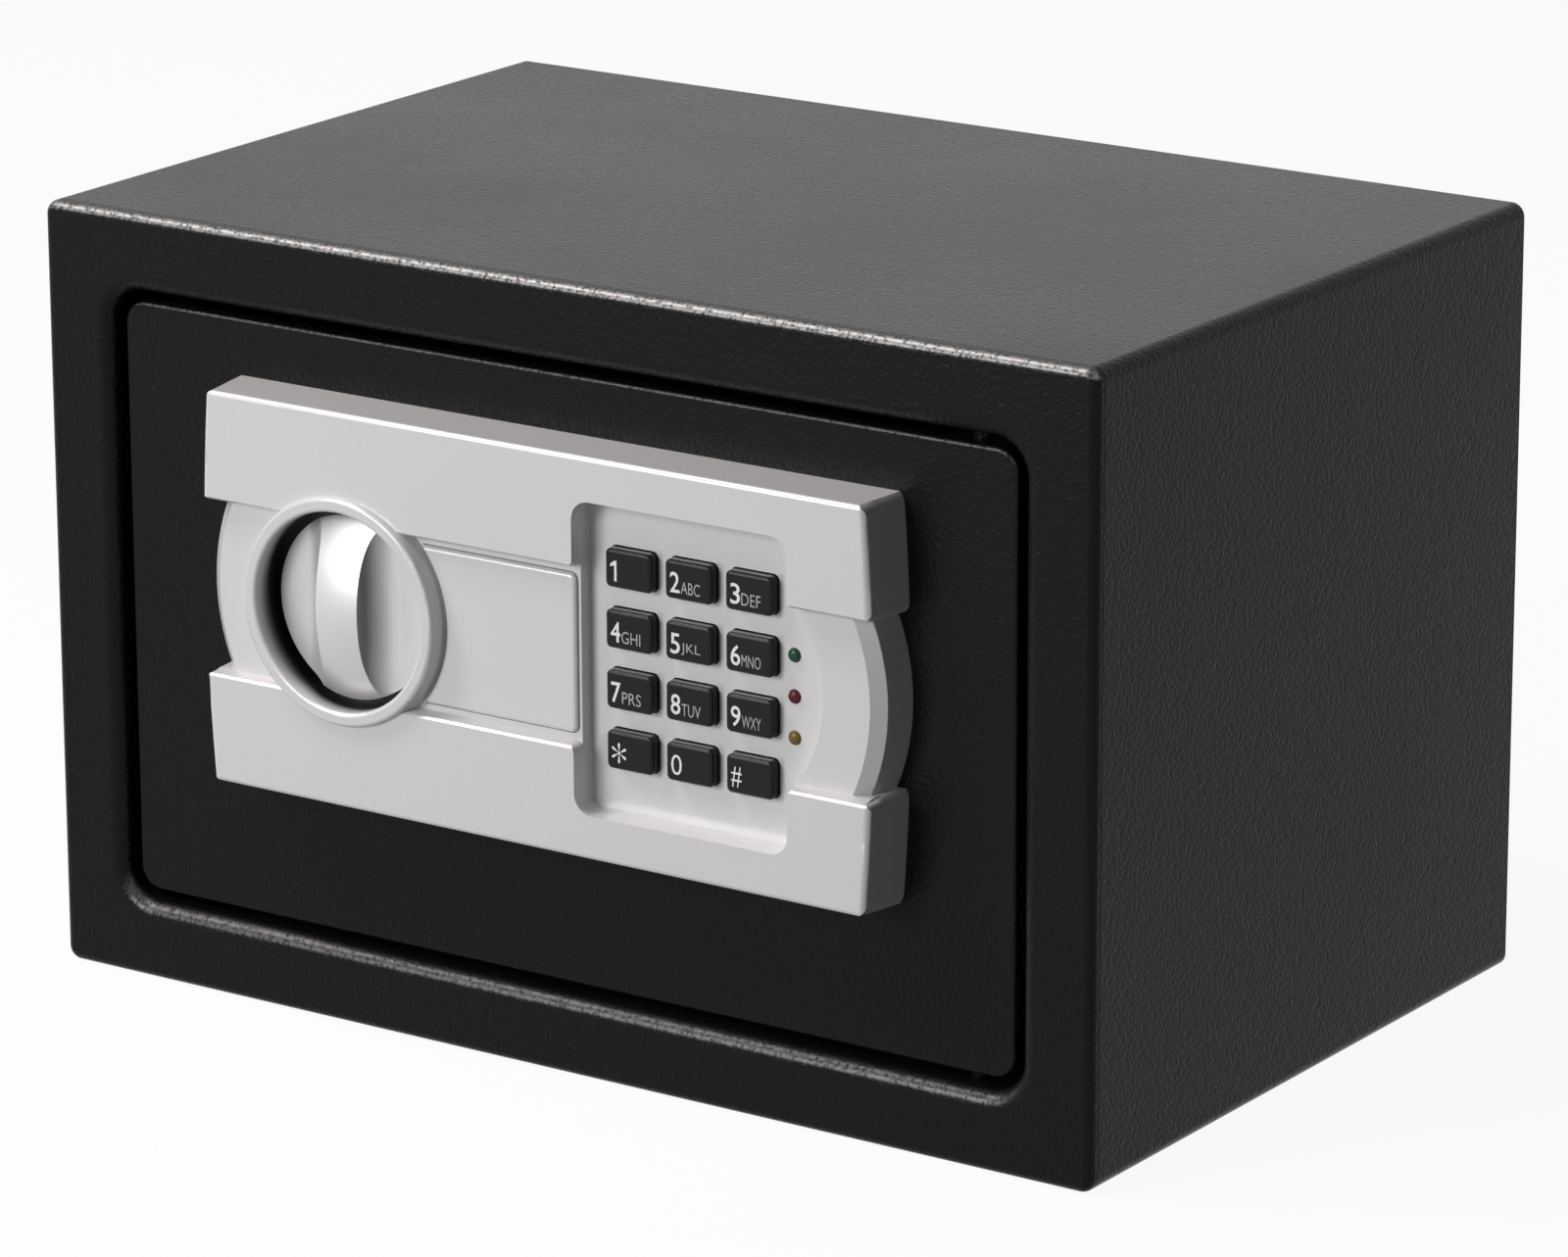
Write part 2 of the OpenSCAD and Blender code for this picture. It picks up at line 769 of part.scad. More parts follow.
// Slotted pan-head screw: its head's seat at z = 0 and its shank upwards
module pan_screw(grip) {
    cylinder(r = screw_r, h = grip);
    difference() {
        translate([0, 0, -head_t]) cylinder(r = head_r, h = head_t);
        translate([-head_slot / 2, -head_r, -head_t - over])
            cube([head_slot, 2 * head_r, over + head_slot]);
    }
}

module cover_screws() {
    color(zinc) upright() for (p = cover_screw_at) translate([p[0], p[1], door_back - cover_t])
        pan_screw(cover_t + cover_thread - loose_gap);
}

module panel_screws() {
    color(zinc) upright() for (p = panel_screw_at) translate([p[0], p[1], door_back])
        pan_screw(door_t + panel_thread);
}

// Panel

// Disc whose rim is the curved wall at one end of the panel
module end_disc(s, r, w) {
    translate([panel_x + s * (w - r), panel_y, door_z]) rotate_extrude($fn = 720) children();
}

module band_ends() {
    intersection_for (s = [-1, 1]) end_disc(s, end_r, end_w)
        wall_section(end_r, end_r - draft, band_z, end_edge_r);
}

// End of the middle field: leaning wall with a soft rim, then a bevel up to the face
module tongue_section() {
    rim = [tongue_r - tongue_lean, rim_z];
    down = unit([tongue_lean, -rim_z]);
    up = unit([-bevel_w, bevel_h]);
    half = acos(down * up) / 2;
    t = rim_edge / tan(half);
    polygon([[0, 0], [tongue_r, 0], rim + t * down, rim + t * up, rim + [-bevel_w, bevel_h], [0, mid_z]]);
    translate(rim + unit(down + up) * rim_edge / sin(half)) circle(rim_edge);
}

function unit(v) = v / norm(v);

// Block at one end of the middle field, between the bands
module tongue_block(s, grow) {
    l = tongue_l + 2 * tongue_out + grow;
    translate([panel_x + s * (tongue_in + l / 2), panel_y, door_z + mid_z / 2 - grow / 2])
        cube([l, 2 * mid_foot, mid_z + grow], center = true);
}

module tongues() {
    for (s = [-1, 1]) intersection() {
        end_disc(s, tongue_r, tongue_w) tongue_section();
        tongue_block(s, 0);
    }
}

// Half section of the panel seen from the side, with y measured from its centre
module band_section() {
    difference() {
        wall_section(panel_h / 2 + side_draft, panel_h / 2, band_z, edge_r);
        polygon([[-over, mid_z], [mid_foot, mid_z], [mid_half, band_z - lip_r], [mid_half + lip_r, band_z],
            [mid_half + lip_r, band_z + over], [-over, band_z + over]]);
    }
}

// Round post that widens towards its foot as the drafted walls do, with radius f at height h
module soft_post(f, lean, h) {
    step = over * lean / h;
    translate([0, 0, -over]) cylinder(r1 = f + lean + step, r2 = f - step, h = h + 2 * over);
}

// Rounds one upright edge at the end of a band: a block less a post at cy, from y0 to y1
module edge_cut(cy, f, y0, y1) {
    x = end_w - end_r + sqrt(pow(end_r - draft - f, 2) - pow(cy, 2)) - post_in;
    difference() {
        translate([x, y0, -over]) cube([2 * (f + draft), y1 - y0, band_z + 2 * over]);
        translate([x, cy, 0]) soft_post(f, draft, band_z);
    }
}

module panel_outer() {
    outer_y = panel_h / 2 - corner_r;
    inner_y = mid_half + nook_r;
    difference() {
        intersection() {
            band_ends();
            for (s = [0, 1]) translate([panel_x - end_w - over, panel_y, door_z]) mirror([0, s, 0])
                rotate([90, 0, 90]) linear_extrude(panel_w + 2 * over) band_section();
        }
        for (sx = [0, 1], sy = [0, 1]) translate([panel_x, panel_y, door_z]) mirror([sx, 0, 0])
            mirror([0, sy, 0]) {
            edge_cut(outer_y, corner_r, outer_y, panel_h / 2 + over);
            edge_cut(inner_y, nook_r, 0, inner_y);
        }
        for (s = [-1, 1]) tongue_block(s, 2 * over);
    }
    tongues();
}

// Ring round the knob, a revolved section with round edges
module ring_section() {
    f = ring_edge;
    translate([ring_bore, 0]) square([ring_r - ring_bore, mid_z]);
    intersection() {
        translate([0, mid_z]) wall_section(ring_r, ring_r - ring_draft, ring_z - mid_z, f);
        union() {
            translate([ring_bore, 0]) square([ring_r, ring_z - f]);
            translate([ring_bore + f, 0]) square([ring_r, ring_z]);
            translate([ring_bore + f, ring_z - f]) circle(f);
        }
    }
}

// Keypad recess with drafted walls, and a bay to its right for the lamps
module pad_recess() {
    h = band_z - pad_z;
    nook = nook_r + post_in;
    translate([pad_x, pad_y, door_z + pad_z]) {
        intersection() {
            linear_extrude(h + over) rrect(pad_w, pad_h, pad_r);
            translate([-pad_w / 2, 0, 0]) rotate([90, 0, 90]) linear_extrude(pad_w)
                recess_section(pad_h, h);
            translate([0, pad_h / 2, 0]) rotate([90, 0, 0]) linear_extrude(pad_h) recess_section(pad_w, h);
        }
        intersection() {
            translate([led_dx + bay_out - bay_r, 0, 0]) cylinder(r = bay_r, h = h + over, $fn = 128);
            translate([0, -mid_foot, 0]) cube([pad_w, 2 * mid_foot, h + over]);
        }
        // round corners of the bands where the recess meets the middle field
        for (sx = [0, 1], sy = [0, 1]) mirror([sx, 0, 0]) mirror([0, sy, 0])
            translate([pad_w / 2, mid_half, mid_z - pad_z]) difference() {
                translate([-over, -over, 0]) cube([nook + over, nook + over, band_z - mid_z + over]);
                translate([nook, nook, 0]) soft_post(nook_r, mid_draft, band_z - mid_z);
            }
    }
}

module recess_section(w, h) {
    polygon([[-w / 2 + pad_draft, 0], [w / 2 - pad_draft, 0], [w / 2, h],
        [w / 2, h + over], [-w / 2, h + over], [-w / 2, h]]);
}

// Room for the badge cover: straight at the right, and hollowed round the ring at the left
module badge_pocket_outline() {
    h = min(badge_h + 2 * slide_gap, 2 * mid_foot);
    x1 = badge_right + slide_gap;
    difference() {
        translate([(knob_x + x1) / 2, 0]) rrect(x1 - knob_x, h, badge_r + slide_gap);
        translate([knob_x, 0]) circle(ring_r + badge_ring_gap - slide_gap);
    }
}

// Hollows in the back of the moulding
module panel_hollows() {
    w = end_w - end_sag - draft - wall;
    band_in = mid_half + wall / 2;
    band_out = panel_h / 2 - wall;
    left = pad_dx - pad_w / 2 - wall;
    right = pad_dx + pad_w / 2 + wall;
    pad_out = pad_h / 2 + wall;
    low = -over;
    translate([panel_x, panel_y, door_z + low]) {
        linear_extrude(cup_top - low) square([2 * w, 2 * band_out], center = true);
        for (s = [0, 1]) mirror([0, s, 0]) {
            translate([-w, band_in, 0]) cube([left + w, band_out - band_in, band_z - wall - low]);
            translate([right, band_in, 0]) cube([w - right, band_out - band_in, band_z - wall - low]);
            translate([left - over, pad_out, 0])
                cube([right - left + 2 * over, band_out - pad_out, band_z - wall - low]);
        }
        // behind the badge pocket and behind the keypad floor
        translate([-knob_dx + ring_r + wall, wall - mid_foot, 0])
            cube([left + knob_dx - ring_r - wall, 2 * (mid_foot - wall), badge_z - wall - low]);
        translate([left - over, -pad_out, 0]) cube([right - left + over, 2 * pad_out, floor_back - low]);
    }
}

module panel_housing() {
    color(silver) upright() difference() {
        union() {
            difference() {
                union() {
                    panel_outer();
                    translate([knob_x, knob_y, door_z]) rotate_extrude($fn = 96) ring_section();
                    translate([knob_x, knob_y, door_z]) cylinder(r = ring_r, h = well_z, $fn = 96);
                }
                panel_hollows();
            }
            translate([knob_x, knob_y, door_z]) difference() {
                cylinder(r = ring_bore + wall, h = band_z - wall / 2, $fn = 96);
                translate([0, 0, -over]) cylinder(r = ring_bore - wall, h = cup_top + over, $fn = 96);
            }
            for (p = panel_screw_at) translate([p[0], p[1], door_z])
                cylinder(r = screw_r + boss_wall, h = band_z - wall / 2);
        }
        translate([knob_x, knob_y, door_z + well_z]) cylinder(r = ring_bore, h = band_z, $fn = 96);
        hole_z([knob_x, knob_y], door_z, door_z + well_z, shaft_r + shaft_hole);
        pad_recess();
        translate([0, lock_y, door_z + badge_z]) linear_extrude(band_z) badge_pocket_outline();
        hole_z([lock_x, lock_y], door_z, door_z + badge_z, barrel_r + barrel_under);
        for (s = [-1, 1]) hole_z([lock_x, lock_y + s * peg_dy], door_z, door_z + badge_z, peg_r + seat_gap);
        translate([0, 0, door_z - over]) linear_extrude(band_z) for (c = [0:2], r = [0:3])
            translate([key_x(c), key_y(r)])
                rrect(key_w + 2 * slide_gap, key_h + 2 * slide_gap, key_r + slide_gap);
        for (i = [-1:1]) hole_z([led_x, led_y + i * led_pitch], door_z, door_z + pad_z, led_r + cam_gap);
        for (p = panel_screw_at) hole_z(p, door_z, door_z + panel_thread + over, screw_r + seat_gap);
    }
}

// Badge cover: a plain plate with two pegs that clip into the panel over the override lock
module badge_cover() {
    w = badge_right - knob_x;
    color(silver) upright() translate([0, lock_y, door_z + badge_z + seat_gap]) {
        difference() {
            translate([(knob_x + badge_right) / 2, 0, 0])
                soft_block(w, badge_h, badge_t, badge_r, badge_edge);
            hole_z([knob_x, 0], 0, badge_t, ring_r + badge_ring_gap);
        }
        for (s = [-1, 1]) translate([lock_x, s * peg_dy, -peg_l])
            cylinder(r = peg_r, h = peg_l + badge_t / 2);
    }
}

// Knob and its drive

// Knob: upright rim and a domed top, cut down on both sides of a grip with hollow walls
module knob() {
    rise = knob_top - knob_rim;
    dome_r = (pow(knob_r, 2) + pow(rise, 2)) / (2 * rise);
    color(silver) upright() translate([knob_x, knob_y, door_z]) difference() {
        intersection() {
            translate([0, 0, well_z + well_gap]) cylinder(r = knob_r, h = knob_top, $fn = 96);
            translate([0, 0, knob_top - dome_r]) rotate([90, 0, 0]) sphere(dome_r, $fn = 180);
        }
        for (s = [0, 1]) mirror([s, 0, 0]) translate([grip_half + scoop_r, knob_r + over, scoop_z])
            rotate([90, 0, 0]) linear_extrude(2 * (knob_r + over)) {
                translate([0, scoop_r]) circle(scoop_r);
                square([knob_r, knob_top]);
            }
        translate([0, 0, -over]) cylinder(r = shaft_r + seat_gap, h = well_z + well_gap + shaft_in + over);
    }
}

module knob_shaft() {
    color(zinc) upright() translate([knob_x, knob_y, cam_back])
        cylinder(r = shaft_r, h = shaft_top - cam_back);
}

module shaft_bush() {
    color(brass) upright() difference() {
        translate([knob_x, knob_y, door_back]) {
            cylinder(r = bush_r, h = door_t + bush_in);
            translate([0, 0, -bush_flange_t]) cylinder(r = bush_flange_r, h = bush_flange_t);
        }
        hole_z([knob_x, knob_y], door_back - bush_flange_t, door_z + bush_in, shaft_r + run_gap);
    }
}

// Crank on the shaft: hub, arm and the pin that drives the carriage
module drive_cam() {
    t = cam_front - cam_back;
    pin_l = carriage_t + lift_gap + over;
    arm = crank_pin_r + cam_arm;
    color(steel) upright() translate([knob_x, knob_y, cam_back]) rotate(-knob_turn / 2) {
        difference() {
            union() {
                cylinder(r = cam_hub, h = t);
                translate([0, crank_r, 0]) cylinder(r = arm, h = t);
                translate([-arm, 0, 0]) cube([2 * arm, crank_r, t]);
            }
            hole_z([0, 0], 0, t, shaft_r + seat_gap);
        }
        translate([0, crank_r, -pin_l]) cylinder(r = crank_pin_r, h = pin_l + t / 2);
    }
}

// Boltwork

module bolt_carriage() {
    half = bolt_pitch / 2 + strip_side;
    right = solenoid_x + arm_end;
    arm_top = knob_y + crank_r + crank_pin_r + arm_side;
    slot_x = knob_x + bolt_throw / 2;
    slot_half = crank_pin_r + crank_gap;
    slot_low = knob_y + crank_r * cos(knob_turn / 2) - crank_pin_r - slot_end;
    slot_high = knob_y + crank_r + crank_pin_r + slot_end;
    flange_back = bolt_z - bolt_r - over;
    lock_back = solenoid_z - plunger_r - lock_side;
    hole = plunger_r + lift_gap;
    reach = [bolt_throw * entry - loose_gap, bolt_throw + loose_gap];
    color(zinc) upright() difference() {
        union() {
            translate([0, 0, carriage_rear]) linear_extrude(carriage_t) {
                translate([plate_left, mid_y - half]) square([strip_w, 2 * half]);
                translate([plate_left, lock_y0]) square([right - plate_left, arm_top - lock_y0]);
            }
            // flange that carries the bolts
            translate([plate_left, mid_y - half, flange_back])
                cube([carriage_t, 2 * half, carriage_front - flange_back]);
            // flange that the solenoid's plunger blocks
            translate([solenoid_x - carriage_t, lock_y0, lock_back])
                cube([arm_end + carriage_t, carriage_t, carriage_front - lock_back]);
        }
        // slot for the crank pin
        translate([slot_x - slot_half, slot_low, carriage_rear - over])
            cube([2 * slot_half, slot_high - slot_low, carriage_t + 2 * over]);
        for (x = stud_at) {
            for (dx = [0, bolt_throw])
                hole_z([x + dx, stud_y], carriage_rear, carriage_front, stud_r + stud_gap);
            translate([x, stud_y - stud_r - stud_gap, carriage_rear - over])
                cube([bolt_throw, 2 * (stud_r + stud_gap), carriage_t + 2 * over]);
        }
        for (s = [-1, 1]) translate([0, mid_y + s * bolt_pitch / 2, bolt_z])
            hole_x(plate_left, plate_left + carriage_t, tenon_r + seat_gap);
        // slot for the plunger
        translate([solenoid_x, 0, solenoid_z]) {
            for (x = reach) translate([x, 0, 0]) hole_y(lock_y0, lock_y0 + carriage_t, hole);
            translate([reach[0], lock_y0 - over, -hole])
                cube([reach[1] - reach[0], carriage_t + 2 * over, 2 * hole]);
        }
    }
}

// Bolt with a chamfered end and a riveted tenon
module locking_bolt(y) {
    seat = plate_left + carriage_t;
    color(zinc) upright() translate([0, y, bolt_z]) {
        rod_x(bolt_tip + bolt_nose, plate_left, bolt_r);
        translate([bolt_tip, 0, 0]) rotate([0, 90, 0])
            cylinder(r1 = bolt_r - bolt_nose, r2 = bolt_r, h = bolt_nose);
        rod_x(plate_left - over, seat + tenon_head / 2, tenon_r);
        rod_x(seat, seat + tenon_head, tenon_r + tenon_head);
    }
}

module bolt_upper() {
    locking_bolt(mid_y + bolt_pitch / 2);
}

module bolt_lower() {
    locking_bolt(mid_y - bolt_pitch / 2);
}

// Angle behind the door in which both bolts slide
module bolt_guide() {
    half = bolt_pitch / 2 + bolt_r + guide_side;
    back = bolt_z - bolt_r - guide_back;
    color(zinc) upright() difference() {
        union() {
            translate([guide_x, mid_y - half, back]) cube([guide_t, 2 * half, door_back - back]);
            translate([guide_x - guide_foot, mid_y - half, door_back - guide_foot_t])
                cube([guide_foot + guide_t / 2, 2 * half, guide_foot_t]);
        }
        for (s = [-1, 1]) translate([0, mid_y + s * bolt_pitch / 2, bolt_z])
            hole_x(guide_x - guide_foot, guide_x + guide_t, bolt_r + run_gap);
    }
}

// Shouldered studs behind the door, with heads that keep the carriage on
module guide_studs() {
    shoulder = carriage_front + loose_gap;
    rear = carriage_rear - lift_gap;
    color(zinc) upright() for (x = stud_at) translate([x, stud_y, 0]) {
        translate([0, 0, shoulder]) cylinder(r = stud_head - lift_gap, h = door_back - shoulder);
        translate([0, 0, rear]) cylinder(r = stud_r, h = shoulder - rear);
        translate([0, 0, rear - head_t]) cylinder(r = stud_head, h = head_t);
    }
}

// Override lock

module lock_barrel() {
    color(zinc) upright() difference() {
        translate([lock_x, lock_y, -barrel_back]) cylinder(r = barrel_r, h = barrel_front + barrel_back);
        hole_z([lock_x, lock_y], -barrel_back, barrel_front, plug_r + run_gap);
    }
}

module lock_plug() {
    back = -barrel_back - lift_gap - lock_cam_t - lift_gap;
    color(brass) upright() translate([lock_x, lock_y, 0]) difference() {
        translate([0, 0, back]) cylinder(r = plug_r, h = barrel_front - back);
        translate([-keyway_w / 2, -keyway_h / 2, barrel_front - keyway_l])
            cube([keyway_w, keyway_h, keyway_l + over]);
    }
}

module lock_nut() {
    color(zinc) upright() difference() {
        translate([lock_x, lock_y, door_back - nut_t])
            cylinder(r = barrel_r + nut_side, h = nut_t, $fn = 6);
        hole_z([lock_x, lock_y], door_back - nut_t, door_back, barrel_r + seat_gap);
    }
}

module lock_cam() {
    color(steel) upright() translate([lock_x, lock_y, -barrel_back - lift_gap - lock_cam_t]) difference() {
        union() {
            cylinder(r = lock_cam_hub, h = lock_cam_t);
            translate([-lock_cam_w, lock_cam_w - lock_cam_l, 0])
                cube([2 * lock_cam_w, lock_cam_l - lock_cam_w, lock_cam_t]);
            translate([0, lock_cam_w - lock_cam_l, 0]) cylinder(r = lock_cam_w, h = lock_cam_t);
        }
        hole_z([0, 0], 0, lock_cam_t, plug_r + seat_gap);
    }
}

// Solenoid whose plunger blocks the carriage

module solenoid_frame() {
    bottom = solenoid_top - solenoid_h;
    half = solenoid_d / 2;
    color(zinc) upright() translate([solenoid_x, 0, solenoid_z]) difference() {
        union() {
            for (y = [bottom, solenoid_top - solenoid_t]) translate([-solenoid_w / 2, y, -half])
                cube([solenoid_w, solenoid_t, solenoid_d]);
            translate([-solenoid_w / 2, bottom, half - solenoid_t])
                cube([solenoid_w, solenoid_h, door_back - solenoid_z - half + solenoid_t]);
        }
        hole_y(solenoid_top - solenoid_t, solenoid_top, plunger_r + cam_gap);
    }
}

module solenoid_coil() {
    low = solenoid_top - solenoid_h + solenoid_t;
    high = solenoid_top - solenoid_t;
    color([0.75, 0.3, 0.12]) upright() translate([solenoid_x, 0, solenoid_z]) difference() {
        rod_y(low, high, coil_r);
        rod_y(low + coil_in, high + over, plunger_r + loose_gap);
    }
}

module solenoid_plunger() {
    color(steel) upright() translate([solenoid_x, 0, solenoid_z])
        rod_y(solenoid_top - solenoid_h + solenoid_t + plunger_in, tip_y, plunger_r);
}

// Keypad

function key_x(c) = pad_x + (c - 1) * key_px;
function key_y(r) = pad_y + (1.5 - r) * key_py;

// Key cap with soft edges, and a flange behind the panel that keeps it in
module key_cap(c, r) {
    low = floor_back - key_rest;
    color([0.1, 0.1, 0.1]) upright() translate([key_x(c), key_y(r), door_z + low]) {
        soft_block(key_w, key_h, pad_z + key_up - low, key_r, key_edge);
        translate([0, 0, -key_flange_t]) linear_extrude(key_flange_t)
            rrect(key_w + key_side, key_h + key_side_y, key_r);
    }
}

module key_1() { key_cap(0, 0); }
module key_2() { key_cap(1, 0); }
module key_3() { key_cap(2, 0); }
module key_4() { key_cap(0, 1); }
module key_5() { key_cap(1, 1); }
module key_6() { key_cap(2, 1); }
module key_7() { key_cap(0, 2); }
module key_8() { key_cap(1, 2); }
module key_9() { key_cap(2, 2); }
module key_star() { key_cap(0, 3); }
module key_0() { key_cap(1, 3); }
module key_hash() { key_cap(2, 3); }

module keypad_mat() {
    w = 2 * (led_dx - led_r - led_flange - lift_gap);
    color([0.2, 0.2, 0.2]) upright() translate([pad_x, pad_y, door_z + board_front])
        linear_extrude(pad_mat_t) rrect(w, board_h - 2, 2);
}

module keypad_board() {
    color(green) upright() translate([board_left, pad_y - board_h / 2, board_back])
        cube([board_right - board_left, board_h, board_t]);
}

module lamp(i) {
    foot = door_z + board_front;
    upright() translate([led_x, led_y + i * led_pitch, foot]) {
        cylinder(r = led_r, h = pad_z + led_up - board_front);
        cylinder(r = led_r + led_flange, h = pad_mat_t);
    }
}

module led_green() { color([0.2, 0.4, 0.22]) lamp(1); }
module led_red() { color([0.5, 0.12, 0.12]) lamp(0); }
module led_yellow() { color([0.6, 0.5, 0.15]) lamp(-1); }

// Electronics behind the door

module control_board() {
    seat = board_t / 2;
    color(green) upright() translate([ctrl_x, ctrl_y, ctrl_back]) {
        difference() {
            linear_extrude(board_t) square([ctrl_w, ctrl_h], center = true);
            for (p = post_at) hole_z(p, 0, board_t, post_pin + cam_gap);
        }
        // switch under the reset button, processor and relay
        translate([reset_at[0] - switch_w / 2, reset_at[1] - switch_w / 2, -switch_h])
            cube([switch_w, switch_w, switch_h + seat]);
        translate([chip_at[0], chip_at[1], -chip[2]]) cube(chip + [0, 0, seat]);
        translate([relay_at[0], relay_at[1], -relay[2]]) cube(relay + [0, 0, seat]);
    }
}

module board_posts() {
    color([0.85, 0.85, 0.8]) upright() for (p = post_at) translate([ctrl_x + p[0], ctrl_y + p[1], ctrl_z]) {
        cylinder(r = post_r, h = standoff);
        translate([0, 0, -board_t - over]) cylinder(r = post_pin, h = board_t + 2 * over);
    }
}

module buzzer() {
    color([0.08, 0.08, 0.08]) upright()
        translate([ctrl_x + buzzer_at[0], ctrl_y + buzzer_at[1], ctrl_back - buzzer_h])
        difference() {
            cylinder(r = buzzer_r, h = buzzer_h);
            translate([0, 0, -over]) cylinder(r = buzzer_hole, h = 3 * over);
        }
}

module ribbon_cable() {
    color([0.7, 0.7, 0.7]) upright() translate([pad_x, ribbon_y, ctrl_z])
        linear_extrude(board_back - ctrl_z) square([ribbon_w, ribbon_t], center = true);
}

// Reset button: cap through the inner cover, a rim that keeps it in and a stem down to the switch
module reset_button() {
    rim_z = cover_z + cover_t + cam_gap;
    stem_end = ctrl_back - switch_h - reset_travel - lift_gap;
    color([0.7, 0.1, 0.08]) upright() translate([reset_x, reset_y, 0]) {
        translate([0, 0, cover_z - reset_up]) cylinder(r = reset_r, h = rim_z - cover_z + reset_up);
        translate([0, 0, rim_z]) cylinder(r = reset_r + reset_rim, h = reset_rim);
        translate([0, 0, rim_z]) cylinder(r = reset_r - reset_stem, h = stem_end - rim_z);
    }
}

// Battery compartment

// Tray behind an opening in the inner cover, with ribs between the cells and a rim behind the sheet
module battery_box() {
    inner = [box_w - 2 * box_wall, box_h - 2 * box_wall];
    color([0.12, 0.12, 0.12]) upright() translate([box_x, box_y, cover_z]) {
        difference() {
            union() {
                linear_extrude(box_d) square([box_w, box_h], center = true);
                translate([0, 0, cover_t + cam_gap]) linear_extrude(box_rim_t)
                    square([box_w + 2 * box_rim, box_h + 2 * box_rim], center = true);
            }
            translate([0, 0, -over]) linear_extrude(box_d - box_wall + over) square(inner, center = true);
        }
        for (i = [-1:1]) translate([0, i * cell_pitch, box_d - box_wall / 2 - rib_h / 2])
            cube([cell_l - 2 * box_rim, rib_t, rib_h], center = true);
    }
}

module battery_cells() {
    color([0.3, 0.32, 0.35]) upright() for (i = [0:3])
        translate([box_x, box_y + (i - 1.5) * cell_pitch, cell_z]) mirror([i % 2, 0, 0]) {
            rod_x(-cell_l / 2, cell_l / 2 - cell_nub_l, cell_d / 2);
            rod_x(0, cell_l / 2, cell_nub);
        }
}

// Contact plates at both ends, each joining two cells, with a round pad for each
module battery_contacts() {
    color(zinc) upright() for (s = [0, 1], i = [-1, 1])
        translate([box_x, box_y + i * cell_pitch, cell_z]) mirror([s, 0, 0]) {
        translate([contact_x - contact_t, -cell_pitch / 2 - contact_side, -contact_half])
            cube([contact_t, cell_pitch + 2 * contact_side, 2 * contact_half]);
        for (j = [-1, 1]) translate([0, j * cell_pitch / 2, 0])
            rod_x(cell_l / 2 + loose_gap, contact_x - contact_t / 2, spring_r);
    }
}

// Lid that lifts off the battery box: a plate with a skirt that fits inside, and grip grooves
module battery_cover() {
    skirt = [box_w - 2 * (box_wall + slide_gap), box_h - 2 * (box_wall + slide_gap)];
    color(black) upright() translate([box_x, box_y, cover_z - seat_gap]) difference() {
        union() {
            mirror([0, 0, 1])
                soft_block(box_w + 2 * lid_out, box_h + 2 * lid_out, lid_t, lid_out, lid_edge);
            translate([0, 0, -lid_t / 2]) linear_extrude(skirt_l + lid_t / 2) difference() {
                square(skirt, center = true);
                square([skirt[0] - 2 * skirt_t, skirt[1] - 2 * skirt_t], center = true);
            }
        }
        for (i = [-1:1]) translate([box_w / 2 - grip_in + i * grip_pitch, -grip_h / 2, -lid_t - over])
            cube([grip_w, grip_h, over + grip_deep]);
    }
}

body_shell();
back_panel();
front_frame();
floor_mat();
hinge_bracket_upper();
hinge_bracket_lower();
door_plate();
hinge_lug_upper();
hinge_lug_lower();
hinge_pin_upper();
hinge_pin_lower();
door_inner_cover();
cover_screws();
panel_housing();
panel_screws();
badge_cover();
knob();
knob_shaft();
shaft_bush();
drive_cam();
bolt_carriage();
bolt_upper();
bolt_lower();
bolt_guide();
guide_studs();
lock_barrel();
lock_plug();
lock_nut();
lock_cam();
solenoid_frame();
solenoid_coil();
solenoid_plunger();
keypad_mat();
keypad_board();
key_1();
key_2();
key_3();
key_4();
key_5();
key_6();
key_7();
key_8();
key_9();
key_star();
key_0();
key_hash();
led_green();
led_red();
led_yellow();
control_board();
board_posts();
buzzer();
ribbon_cable();
reset_button();
battery_box();
battery_cover();
battery_cells();
battery_contacts();
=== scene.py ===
import math

import bpy
from mathutils import Matrix, Vector


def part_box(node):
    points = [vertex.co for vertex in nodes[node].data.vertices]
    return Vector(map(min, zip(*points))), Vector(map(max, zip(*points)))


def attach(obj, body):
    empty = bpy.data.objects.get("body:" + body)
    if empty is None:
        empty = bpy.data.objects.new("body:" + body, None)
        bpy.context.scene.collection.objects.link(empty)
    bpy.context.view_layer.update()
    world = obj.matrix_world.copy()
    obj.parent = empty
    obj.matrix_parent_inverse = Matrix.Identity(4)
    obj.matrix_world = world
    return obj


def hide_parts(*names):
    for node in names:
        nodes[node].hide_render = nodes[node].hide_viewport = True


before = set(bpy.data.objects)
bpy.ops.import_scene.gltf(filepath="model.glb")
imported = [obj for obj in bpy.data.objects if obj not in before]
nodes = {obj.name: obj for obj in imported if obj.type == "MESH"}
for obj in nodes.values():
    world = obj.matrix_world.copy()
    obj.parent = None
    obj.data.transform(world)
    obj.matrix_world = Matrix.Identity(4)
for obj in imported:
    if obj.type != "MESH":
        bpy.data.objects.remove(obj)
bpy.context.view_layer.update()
print("frame loaded:", len(nodes), "nodes")


def pickOnly(*objs):
    bpy.ops.object.select_all(action="DESELECT")
    for o in objs:
        o.select_set(True)
    bpy.context.view_layer.objects.active = objs[0]


def named(name):
    made = bpy.context.object
    made.name = name
    made.data.name = name
    return made


def settle(piece):
    # the place goes into the mesh, so that object patterns lie still
    pickOnly(piece)
    bpy.ops.object.transform_apply(location=True, rotation=True, scale=True)


